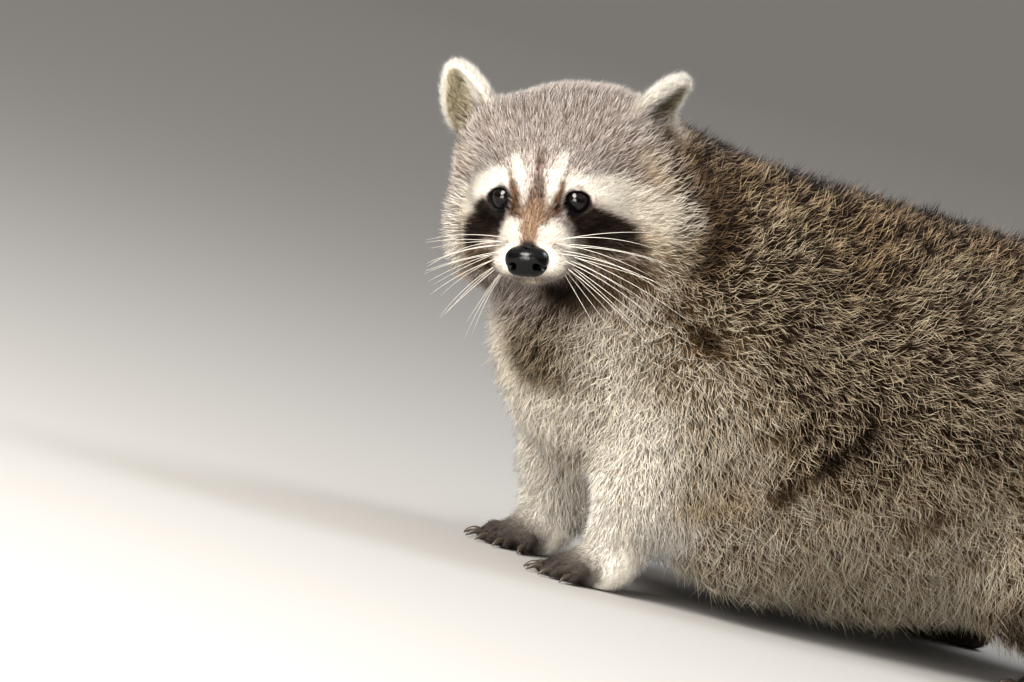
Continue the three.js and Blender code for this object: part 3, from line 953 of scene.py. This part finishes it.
# A tuft's width, how many grow on a square millimetre of skin, how far they stray from the comb's
# way and then curl, how much a clump draws them together, the share of them that is undercoat, and
# how far toward its tip's colour a hair has turned where it is widest.
TRAITS = ("width", "density", "stray", "curl", "pull", "undercoat", "turned")
COAT = {
    "trunk": (0.46, 0.66, 0.78, 1.3, 0.52, 0.5, 0.3),
    "foreleg": (0.44, 0.6, 0.3, 0.5, 0.35, 0.3, 0.6),
    "hindleg": (0.46, 0.42, 0.4, 0.6, 0.35, 0.35, 0.4),
    "tail": (0.55, 0.38, 0.35, 0.4, 0.35, 0.35, 0.5),
    "skull": (0.26, 2.1, 0.18, 0.25, 0.2, 0.32, 0.5),
    "ear": (0.26, 2.6, 0.42, 0.35, 0.25, 0.2, 0.6),
    "paw": (0.34, 0.8, 0.15, 0.1, 0.1, 0.2, 0.6),
}
UNDERCOAT_WIDTH = 1.7  # of a top hair's
UNDER_TOP = 0.12  # how much more often a top hair's tip is pale than the share of its tone says
CLUMP = 5  # tufts in a clump
CLUMP_SHADE = 0.7  # how far a clump settles whether its tips are pale
UNEVEN = 0.22  # how much one hair's brightness differs from the next
ROOT_SHADE = 0.7


def trait(share, name):
    """One trait of the coat at each point."""
    return by_share(share, {part: row[TRAITS.index(name)] for part, row in COAT.items()})


# ---- materials
def shader(name, **values):
    """A material whose surface is one principled shader with these values on its sockets."""
    material = bpy.data.materials.new(name)
    material.use_nodes = True
    surface = material.node_tree.nodes["Principled BSDF"]
    for socket, value in values.items():
        surface.inputs[socket.replace("_", " ")].default_value = value
    return material, material.node_tree, surface


def bumped(tree, surface, scale, strength, distance, cells=False):
    """Fine relief of noise, or of small cells, on a surface."""
    pattern = tree.nodes.new("ShaderNodeTexVoronoi" if cells else "ShaderNodeTexNoise")
    pattern.inputs["Scale"].default_value = scale
    if not cells:
        pattern.inputs["Detail"].default_value = 3
    place = tree.nodes.new("ShaderNodeTexCoord")
    bump = tree.nodes.new("ShaderNodeBump")
    bump.inputs["Strength"].default_value = strength
    bump.inputs["Distance"].default_value = distance
    tree.links.new(place.outputs["Object"], pattern.inputs["Vector"])
    tree.links.new(pattern.outputs["Distance" if cells else "Fac"], bump.inputs["Height"])
    tree.links.new(bump.outputs["Normal"], surface.inputs["Normal"])


def coat_material(name, **values):
    """A material whose colour is the one painted on the mesh."""
    material, tree, surface = shader(name, **values)
    colour = tree.nodes.new("ShaderNodeAttribute")
    colour.attribute_name = "Coat"
    tree.links.new(colour.outputs["Color"], surface.inputs["Base Color"])
    return material, tree, surface


def plain_material(name, hex_colour, **values):
    return shader(name, Base_Color=(*linear(hex_colour), 1), **values)


def make_materials():
    fur, _, _ = coat_material("fur", Roughness=0.6, Specular_IOR_Level=0.1)
    hide, tree, surface = coat_material("hide", Roughness=0.7, Specular_IOR_Level=0.2)
    bumped(tree, surface, 900, 0.5, 0.0006)
    eye, _, _ = coat_material("eye", Roughness=0.05, Specular_IOR_Level=0.38)
    nose, tree, surface = plain_material("nose", "030304", Roughness=0.18, Specular_IOR_Level=0.3)
    bumped(tree, surface, 1100, 0.35, 0.0002, cells=True)
    claw, tree, surface = plain_material("claw", "3d342b", Roughness=0.35)
    bumped(tree, surface, 500, 0.2, 0.0003)
    whisker, _, _ = plain_material("whisker", "f1ece0", Roughness=0.35)
    floor, _, _ = shader("floor", Base_Color=(0.42, 0.41, 0.40, 1), Roughness=0.85)
    made = (fur, hide, eye, nose, claw, whisker, floor)
    return {material.name: material for material in made}


MATERIALS = make_materials()


# ---- the skin's mesh
NET_STEP = 3.4
ROOM = 14  # millimetres of empty space round the animal


def share_at(p):
    return measured(lambda q: survey(q)[1], p)


def shown_at(p, share):
    """The place on the coat's outer surface that a spot of skin lies under."""
    _, way = slope(animal, p)
    return p + unit(way) * coat_depth(p, share)


def make_skin():
    low, high = (np.array(corner) * METRE - SHIFT[:, 0] for corner in CAD_BOX)
    verts, quads = net(skin, low - ROOM, high + ROOM, NET_STEP)
    bm = to_bmesh(verts, quads)
    refine(bm, lambda p: head_region(p) | paw_region(p), skin, 1.7)
    refine(bm, detail_region, skin, 0.9)
    p, faces = taken(bm)
    share = share_at(p)
    tones = tones_at(shown_at(p, share), share)
    depth = coat_depth(p, share)
    tips = tones[3:6] * tones[9] + tones[6:9] * (1 - tones[9])
    cover = 0.7 - 0.55 * ramp(depth, 2, 8)
    piece = make_mesh("skin", p, faces, "hide", mixed(tones[0:3], tips, cover))
    return piece, p, faces


# ---- tufts
HAIR_RING = [math.radians(a) for a in (90, 210, 330)]
LONG_FACES = [(0, 2, 1), (0, 3, 2), (0, 1, 3), (1, 2, 4), (2, 3, 4), (3, 1, 4)]
SHORT_FACES = [(0, 2, 1), (0, 1, 3), (1, 2, 3), (2, 0, 3)]
BEND = 0.68  # where a long hair is widest, as a share of its length
SHORT_HAIR = 9.5  # millimetres: a shorter hair is a straight spike
PIECE_LIMIT = 190000  # triangles in one piece of the coat
PATCH = 0.003  # of the unwrap, for each tuft
FLOOR_ROOM = 0.6  # millimetres between the lowest tufts and the floor
SPARSE = (2.5, 0.42)  # the depth of the head's coat past which it thins, and how fast it does
UNDERSIDE_SHARE = 0.35  # of the tufts grow where the body faces the floor
BARE_ROOM = 1.2  # millimetres round the soles and the nose where nothing grows
ROOT_DEPTH = {"short": 0.5, "long": 0.8}  # how far a tuft starts under the skin
OWN_LENGTH = (0.7, 1.15)  # the shortest and longest hair of a place, as shares of its usual length
OWN_WIDTH = (0.7, 1.25)
OWN_RISE = {"under": (0.4, 0.8), "top": (0.8, 1.08)}  # how far through the coat's depth tips reach
MOST_LIFT = 14
UNWRAP = (0.01, 0.975)  # the margin of the unwrap and the width of what lies inside it
FEWEST = 20  # tufts that make a piece


def ring_round(spot, way, normal, width):
    across = unit(np.cross(way, normal, axis=0))
    over = np.cross(across, way, axis=0)
    return [
        spot + width / 2 * (math.cos(a) * across + math.sin(a) * 0.7 * over) for a in HAIR_RING
    ]


def sample_roots(p, faces):
    """Roots of tufts scattered over the skin, as dense as each part of it asks for."""
    corner = [p[:, faces[:, i]] for i in range(3)]
    normal = np.cross(corner[1] - corner[0], corner[2] - corner[0], axis=0)
    area = lengths(normal) / 2
    middle = sum(corner) / 3
    share = share_at(middle)
    q = inside_of(HEAD, middle)
    density = trait(share, "density")
    depth = coat_depth(middle, share)
    thinned = 1 / (1 + SPARSE[1] * np.maximum(depth - SPARSE[0], 0))
    density = density * np.where(share[PARTS.index("skull")] > 0.5, thinned, 1)
    hidden = (unit(normal)[2] < -0.75) & (middle[2] < 120)
    density = density * np.where(hidden, UNDERSIDE_SHARE, 1)
    density = density * np.where(middle[2] < SOLE_LEVEL + BARE_ROOM, 0, 1)
    for s in SIDES.values():
        eye = lengths(q - column((s * EYE_SPACING / 2, 1, 0)))
        density = np.where(eye < LID_RADIUS + 0.1, 0, density)
    density = np.where(NOSE(q) < BARE_ROOM, 0, density)
    wanted = area * density * FULL
    count = np.floor(wanted + RANDOM.random(len(wanted))).astype(int)
    pick = np.repeat(np.arange(len(faces)), count)
    a, b = RANDOM.random((2, len(pick)))
    flip = a + b > 1
    a, b = np.where(flip, 1 - a, a), np.where(flip, 1 - b, b)
    spots = corner[0][:, pick] * (1 - a - b) + corner[1][:, pick] * a + corner[2][:, pick] * b
    return spots.astype(np.float32)


def tangent(way, normal):
    return unit(way - normal * np.einsum("ij,ij->j", way, normal))


def clumped(root, mid, tip, pull, size):
    """Hairs drawn together at their tips, about each of a number of leading hairs."""
    count = root.shape[1]
    leaders = RANDOM.choice(count, max(1, count // size), replace=False)
    tree = kdtree.KDTree(len(leaders))
    for i, spot in enumerate(root[:, leaders].T.tolist()):
        tree.insert(spot, i)
    tree.balance()
    chosen = leaders[[tree.find(spot)[1] for spot in root.T.tolist()]]
    tip = mixed(tip, tip[:, chosen], pull)
    mid = mid + (mid[:, chosen] - mid) * pull * 0.35
    return mid, tip, chosen


def grow(root, under):
    """The middle and tip of a hair from each root, lying along the body at the coat's own depth."""
    count = root.shape[1]
    _, normal = slope(animal, root)
    normal = unit(normal)
    share = share_at(root)
    depth = coat_depth(root, share)
    length = hair_length(root, share, depth) * RANDOM.uniform(*OWN_LENGTH, count)
    way = tangent(combed(root, share), normal)
    across = np.cross(normal, way, axis=0)
    way = unit(way + across * RANDOM.normal(0, 1, count) * trait(share, "stray"))
    low, high = (RANDOM.uniform(*OWN_RISE[kind], count) for kind in ("under", "top"))
    rise = np.where(under, low, high)
    mid = root + way * length * BEND + normal * depth * 0.4
    mid = lifted(mid, -depth * (1 - 0.76 * rise))
    _, normal_mid = slope(animal, mid)
    curl = across * RANDOM.normal(0, 1, count) * trait(share, "curl")
    tip = mid + tangent(way + curl, unit(normal_mid)) * length * (1 - BEND)
    loose = by_share(share, loft(root)) * RANDOM.random(count) ** 3 * ~under
    tip = lifted(tip, loose - depth * (1 - rise))
    for spot in (mid, tip):
        spot[2] = np.maximum(spot[2], FLOOR_ROOM)
    return mid, tip, normal, share, depth, length


def lifted(p, level):
    """The points moved straight out of the coat, or in, to their own level."""
    here, way = slope(animal, p)
    step = unit(way) * (level - here)
    return p + step * np.minimum(1, MOST_LIFT / lengths(step))


def unwrapped(part, p):
    """Each root's place on an unwrap of its part of the skin."""
    if part == "tail":
        far, _ = along_tail(p)
        return np.arctan2(p[0] - 40, p[2] - 90), far
    centre = {"trunk": (0, 15, 140), "skull": tuple(HEAD @ Vector((0, -35, -5)))}.get(part)
    if centre is None:
        centre = tuple(p.mean(1))
    off = p - column(centre)
    if part in ("foreleg", "hindleg", "paw"):
        return np.arctan2(off[0], off[1]), off[2] - 0.3 * lengths(off[:2])
    return np.arctan2(off[0], off[2]), np.arctan2(off[1], lengths(off[[0, 2]]))


def unit_range(values):
    low, high = values.min(), values.max()
    return UNWRAP[0] + UNWRAP[1] * (values - low) / max(high - low, 1e-6)


def make_tufts(name, part, root, mid, tip, normal, width, colours, short):
    """One piece of the coat: a closed tuft on each root."""
    count = root.shape[1]
    way = unit(tip - root)
    if short:
        points = [*ring_round(root - normal * ROOT_DEPTH["short"], way, normal, width), tip]
        shades = [colours[0]] * 3 + [colours[2]]
        pattern = SHORT_FACES
    else:
        points = [root - normal * ROOT_DEPTH["long"], *ring_round(mid, way, normal, width), tip]
        shades = [colours[0], *[colours[1]] * 3, colours[2]]
        pattern = LONG_FACES
    size = len(points)
    verts = np.stack(points, 2).reshape(3, -1)
    shade = np.stack(shades, 2).reshape(3, -1)
    faces = (np.array(pattern)[None] + (np.arange(count) * size)[:, None, None]).reshape(-1, 3)
    piece = make_mesh(name, verts, faces, "fur", shade)
    u, v = (unit_range(value) for value in unwrapped(part, root))
    steps = np.linspace(0, PATCH, size)
    sway = PATCH / 2 * np.array([0, 1, -1, 0.5, 0][:size])
    patch_u = (u[:, None] + steps + sway).ravel()
    patch_v = (v[:, None] + steps - sway).ravel()
    uv = np.stack([patch_u, patch_v], 1)[faces.ravel()]
    layer = piece.data.uv_layers.new(name="OFBake")
    layer.data.foreach_set("uv", uv.astype(np.float32).ravel())
    return piece


def piece_names(p, share):
    """The part of the body that each tuft belongs to, with its side."""
    part = share.argmax(0)
    head_left = inside_of(HEAD, p)[0] > 0
    on_head = np.isin(part, [PARTS.index("skull"), PARTS.index("ear")])
    left = np.where(on_head, head_left, p[0] > 0)
    fore = p[1] < 20
    names = np.array(PARTS, dtype=object)[part]
    names = np.where(names == "paw", np.where(fore, "forepaw", "hindpaw"), names)
    return names + np.where(names == "tail", "", np.where(left, "_left", "_right"))


def shaded(tones, chosen, under, turned):
    """The colours of each hair at its root, middle and tip."""
    count = len(under)
    own = RANDOM.random(count)
    lead = RANDOM.random(count)[chosen]
    mix = (1 - CLUMP_SHADE) * own + CLUMP_SHADE * lead
    pale = ramp(tones[9] + UNDER_TOP - mix, -0.1, 0.1) * ~under
    bright = 1 + UNEVEN * RANDOM.normal(0, 1, count)
    tip = mixed(tones[6:9], tones[3:6], pale) * np.clip(bright, 0.6, 1.4)
    middle = mixed(tones[0:3], tip, turned)
    return tones[0:3] * ROOT_SHADE, middle, np.clip(tip, 0, 0.95)


def make_coat(p, faces):
    root = sample_roots(p, faces)
    under = RANDOM.random(root.shape[1]) < trait(share_at(root), "undercoat")
    mid, tip, normal, share, depth, length = grow(root, under)
    mid, tip, chosen = clumped(root, mid, tip, trait(share, "pull"), CLUMP)
    tones = tones_at(mid * 0.5 + tip * 0.5, share)
    colours = shaded(tones, chosen, under, trait(share, "turned"))
    width = trait(share, "width") * RANDOM.uniform(*OWN_WIDTH, root.shape[1])
    width = width * np.where(under, UNDERCOAT_WIDTH, 1)
    width = width * np.clip(0.75 + length / 60, 0.75, 1.3)
    short = (length < SHORT_HAIR) | under
    names = piece_names(root, share)
    part_of = np.array(PARTS, dtype=object)[share.argmax(0)]
    made = []
    for name in sorted(set(names)):
        for is_short in (False, True):
            index = np.nonzero((names == name) & (short == is_short))[0]
            if len(index) < FEWEST:
                continue
            index = index[np.argsort(root[1, index])]
            limit = PIECE_LIMIT // len(SHORT_FACES if is_short else LONG_FACES)
            parts = np.array_split(index, math.ceil(len(index) / limit))
            for number, chunk in enumerate(parts):
                kind = "short" if is_short else "long"
                title = f"coat_{name}_{kind}_{number + 1}"
                cut = [value[:, chunk] for value in (root, mid, tip, normal)]
                tint = [value[:, chunk] for value in colours]
                made.append(make_tufts(title, part_of[chunk[0]], *cut, width[chunk], tint, is_short))
    return made


skin_piece, skin_points, skin_faces = make_skin()
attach(skin_piece, ROOT)
coat_pieces = make_coat(skin_points, skin_faces)
for piece in coat_pieces:
    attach(piece, ROOT)


# ---- eyes
PUPIL, IRIS, EYE_WHITE = (linear(tint)[:, None] for tint in ("010102", "0c0705", "0d0a0b"))
DOME = 0.055  # how far the clear dome stands out, as a share of the eye's radius


def make_eye(side):
    """A wet, dark ball with a clear dome over its iris."""
    bm = bmesh.new()
    bmesh.ops.create_uvsphere(bm, u_segments=48, v_segments=32, radius=EYE_RADIUS)
    bmesh.ops.rotate(bm, matrix=Matrix.Rotation(math.radians(-90), 3, "X"), verts=bm.verts)
    p, faces = taken(bm)
    off = np.degrees(np.arccos(np.clip(p[1] / EYE_RADIUS, -1, 1)))
    iris = IRIS * (1 + 0.35 * np.sin(np.arctan2(p[2], p[0]) * 31))
    colour = mixed(PUPIL, iris, ramp(off, 20, 26))
    colour = mixed(colour, EYE_WHITE, ramp(off, 46, 54))
    p = p * (1 + DOME * (1 - ramp(off, 0, 44)))
    p, faces = moved_out(EYES[side], p, faces)
    piece = make_mesh(f"eyeball_{side}", p, faces, "eye", np.clip(colour, 0, 1))
    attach(piece, ROOT)
    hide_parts(f"eye_{side}")


# ---- nose
NOSTRILS = melted(
    [
        *both(lambda s: bone((s * 6.4, 50, -24.6), 1.9, (s * 6.8, 43, -23.8), 1.4)),
        *both(lambda s: bone((s * 7.4, 49.0, -25.0), 1.5, (s * 11.0, 45.0, -26.8), 0.9)),
        *both(lambda s: bone((s * 10.6, 45.4, -26.4), 0.8, (s * 12.8, 41, -24.8), 0.5)),
    ],
    1.2,
)
PHILTRUM = bone((0, 51.6, -22), 0.4, (0, 50, -33), 0.8)
# The low sides of the pad, fuller than the part's, as the photo shows them.
NOSE_SIDES = melted(both(lambda s: lump((s * 5.6, 44.2, -26.4), (5.2, 5.6, 5.0))), 2.5)


def nose_pad(p):
    """The nose pad with its nostrils and the groove under it."""
    total = carve(melt(NOSE(p), NOSE_SIDES(p), 2.5), NOSTRILS(p), 1.0)
    return carve(total, PHILTRUM(p), 1.2)


def make_nose():
    p, quads = net(nose_pad, (-16, 28, -38), (16, 56, -10), 0.55)
    p, quads = moved_out(HEAD, p, quads)
    piece = make_mesh("nose_pad", p, quads, "nose")
    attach(piece, ROOT)
    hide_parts("nose")


# ---- swept rods: claws and whiskers
def swept(points, radii, sides):
    """A closed rod through points in columns, with a ring of vertices at each."""
    way = unit(np.gradient(points, axis=1))
    across = unit(np.cross(way, column((0, 0, 1)), axis=0))
    over = np.cross(across, way, axis=0)
    turns = np.arange(sides) * 2 * np.pi / sides
    rings = points[:, :, None] + radii[:, None] * (
        across[:, :, None] * np.cos(turns) + over[:, :, None] * np.sin(turns)
    )
    verts = np.concatenate([rings.reshape(3, -1), points[:, :1], points[:, -1:]], 1)
    last = (points.shape[1] - 1) * sides
    first, end = last + sides, last + sides + 1
    faces = []
    for i in range(sides):
        j = (i + 1) % sides
        faces += [(first, i, j), (end, last + j, last + i)]
        for ring in range(0, last, sides):
            a, b = ring + i, ring + j
            faces += [(a, b + sides, b), (a, a + sides, b + sides)]
    return verts, np.array(faces)


def smooth_line(spots, count):
    """A curve of count points through a few spots."""
    spots = np.array(spots, dtype=float)
    t = np.linspace(0, 1, len(spots))
    power = min(len(spots) - 1, 3)
    fits = [np.polyfit(t, spots[:, i], power) for i in range(3)]
    return np.stack([np.polyval(fit, np.linspace(0, 1, count)) for fit in fits])


CLAW_ARCH = ((0.05, 1.2), (0.45, 2.6), (0.8, 1.6), (1, 0))  # shares of its length, and heights
CLAW_RINGS = 14
CLAW_FLOOR = 0.1  # millimetres between a claw and the floor


def make_claws(name, spot, toes):
    for i in range(5):
        _, _, tip, point = (np.array(value) for value in toe_line(toes, i))
        lift = np.array((0, 0, 1.0))
        line = [tip + (point - tip) * t + lift * up for t, up in CLAW_ARCH]
        p = applied(spot, smooth_line(line, CLAW_RINGS).astype(np.float32))
        radii = CLAW_RADIUS * (1 - np.linspace(0, 1, CLAW_RINGS) ** 2.2) * 0.95 + 0.08
        verts, faces = swept(p, radii, 12)
        verts[2] = np.maximum(verts[2], CLAW_FLOOR)
        piece = make_mesh(f"horn_{name}_{i + 1}", verts, faces, "claw")
        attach(piece, ROOT)
        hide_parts(f"claw_{name}_{i + 1}")


# Rows of whiskers on each side: how many, how far left, forward and up of the head's middle their
# roots are, how many degrees they turn aside from forward and rise, and how far they reach.
WHISKER_ROWS = [
    (3, 15, 29, -16, 66, 12, 68),
    (4, 15, 28, -20, 70, 2, 80),
    (4, 15, 26, -24, 76, -12, 80),
    (4, 15, 24, -28, 82, -30, 68),
    (3, 15, 20, -33, 84, -52, 50),
    (3, 20, 6, 13, 60, 48, 20),
]
WHISKER_LIMIT = {1: 84, -1: 48}  # on each side, so that the right ones stay near the part's own box
WHISKER_GAP = 4.2  # between the roots of a row
WHISKER_FAN = 9  # degrees between the whiskers of a row
WHISKER_RADIUS = 0.14
WHISKER_SAG = (0, -0.35, -0.5)  # backward and down, as shares of its reach, at the most


def away_from(turn, rise):
    """A way that turns aside from forward, and rises, in a frame."""
    return np.array((math.sin(turn) * math.cos(rise), math.cos(turn) * math.cos(rise), math.sin(rise)))


def whisker(s, i, count, left, forward, up, turn, rise, reach):
    """One whisker, which leaves the muzzle or the brow sideways and droops at its end."""
    spread = i - (count - 1) / 2
    root = np.array((s * left, forward - spread * WHISKER_GAP, up + RANDOM.normal(0, 0.8)))
    turn = math.radians(turn + spread * WHISKER_FAN + RANDOM.normal(0, 4))
    rise = math.radians(rise + RANDOM.normal(0, 5))
    way = away_from(turn, rise) * (s, 1, 1)
    reach = min(reach * RANDOM.uniform(0.75, 1.1), WHISKER_LIMIT[s])
    droop = np.array(WHISKER_SAG) * reach * RANDOM.uniform(0.1, 0.75)
    t = np.linspace(0, 1, 12)
    line = root[:, None] + way[:, None] * reach * t + droop[:, None] * t**2.2
    return line.astype(np.float32), WHISKER_RADIUS * (1 - t) ** 0.8 + 0.03


def make_whiskers():
    verts, faces, start = [], [], 0
    for s in SIDES.values():
        for row in WHISKER_ROWS:
            for i in range(row[0]):
                line, radii = whisker(s, i, *row)
                rod, sides = swept(applied(HEAD, line), radii, 5)
                verts.append(rod)
                faces.append(sides + start)
                start += rod.shape[1]
    piece = make_mesh("whiskers", np.concatenate(verts, 1), np.concatenate(faces), "whisker")
    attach(piece, ROOT)


# ---- stage, light and camera
CAMERA_AZIMUTH = 60
CAMERA_HEIGHT = 3.5  # degrees above the horizon
CAMERA_ROLL = 16
CAMERA_AWAY = 4130
CAMERA_SHIFT = (-192, 114.9)  # how far right and up the camera stands of the animal's origin
FOCAL = 7000 / 1024  # of the picture's width
SENSOR = 36


def toward(azimuth, elevation):
    """The way from the animal to something at an angle round it from its front, and above it."""
    a, e = math.radians(azimuth), math.radians(elevation)
    return Vector((math.sin(a) * math.cos(e), -math.cos(a) * math.cos(e), math.sin(e)))


def view_axes():
    """Right, up and back of a level camera, in the animal's axes."""
    back = toward(CAMERA_AZIMUTH, CAMERA_HEIGHT)
    a = math.radians(CAMERA_AZIMUTH)
    right = Vector((math.cos(a), math.sin(a), 0))
    return right, back.cross(right), back


def make_camera():
    right, up, back = view_axes()
    spot = right * CAMERA_SHIFT[0] + up * CAMERA_SHIFT[1] + back * CAMERA_AWAY
    data = bpy.data.cameras.new("camera")
    data.sensor_width = SENSOR
    data.lens = FOCAL * SENSOR
    data.clip_end = 100
    camera = add_object("camera", data)
    roll = math.radians(CAMERA_ROLL)
    rolled_right = right * math.cos(roll) + up * math.sin(roll)
    rolled_up = up * math.cos(roll) - right * math.sin(roll)
    turned = Matrix((rolled_right, rolled_up, back)).transposed()
    camera.matrix_world = Matrix.Translation(to_row(column(spot))[:, 0]) @ turned.to_4x4()
    bpy.context.scene.camera = camera


def make_light(name, azimuth, elevation, away, size, power, colour):
    back = toward(azimuth, elevation)
    data = bpy.data.lights.new(name, "AREA")
    data.shape = "DISK"
    data.size = size
    data.energy = power
    data.color = colour
    light = add_object(name, data)
    light.location = back * away
    light.rotation_mode = "QUATERNION"
    light.rotation_quaternion = back.to_track_quat("Z", "Y")


FLOOR_RADIUS = 16  # metres of level floor, beyond which it curves up into a wall all round
WALL_CURVE = 8
WALL_HEIGHT = 14
SKY = (1.0, 0.965, 0.915, 1)
SKY_STRENGTH = 0.62
# Each lamp's azimuth and elevation in degrees, its distance and size in metres, watts and colour.
LAMPS = {
    "key": (24, 38, 2.6, 1.2, 86, (1.0, 0.96, 0.90)),
    "fill": (38, 8, 2.8, 1.6, 78, (1.0, 0.95, 0.89)),
    "rim": (175, 55, 2.6, 1.2, 34, (0.95, 0.97, 1.0)),
}


def make_stage():
    """A floor that turns up into a wall in one wide curve, a pale sky over it and the lamps."""
    profile = [(0, 0), (2, 0), (FLOOR_RADIUS, 0)]
    for a in np.linspace(0, math.pi / 2, 16)[1:]:
        profile.append((FLOOR_RADIUS + WALL_CURVE * math.sin(a), WALL_CURVE * (1 - math.cos(a))))
    profile.append((FLOOR_RADIUS + WALL_CURVE, WALL_HEIGHT))
    bm = bmesh.new()
    line = [bm.verts.new((r, 0, z)) for r, z in profile]
    edges = [bm.edges.new(pair) for pair in zip(line, line[1:])]
    bmesh.ops.spin(bm, geom=line + edges, axis=(0, 0, 1), cent=(0, 0, 0), steps=96, angle=2 * math.pi)
    bmesh.ops.remove_doubles(bm, verts=bm.verts, dist=1e-4)
    bmesh.ops.recalc_face_normals(bm, faces=bm.faces)
    mesh = bpy.data.meshes.new("floor")
    bm.to_mesh(mesh)
    bm.free()
    mesh.shade_smooth()
    floor = add_object("floor", mesh)
    mesh.materials.append(MATERIALS["floor"])
    world = bpy.data.worlds.new("studio")
    world.use_nodes = True
    sky = world.node_tree.nodes["Background"]
    sky.inputs["Color"].default_value = SKY
    sky.inputs["Strength"].default_value = SKY_STRENGTH
    bpy.context.scene.world = world
    for name, lamp in LAMPS.items():
        make_light(name, *lamp)
    bpy.context.scene.view_settings.view_transform = "Standard"


for side in SIDES:
    make_eye(side)
make_nose()
for name, paw in PAWS.items():
    make_claws(name, paw["frame"], paw["toes"])
make_whiskers()
hard = ("eye_", "nose", "claw_")
flesh = [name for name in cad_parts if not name.startswith(hard)]
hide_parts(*flesh)
make_stage()
make_camera()
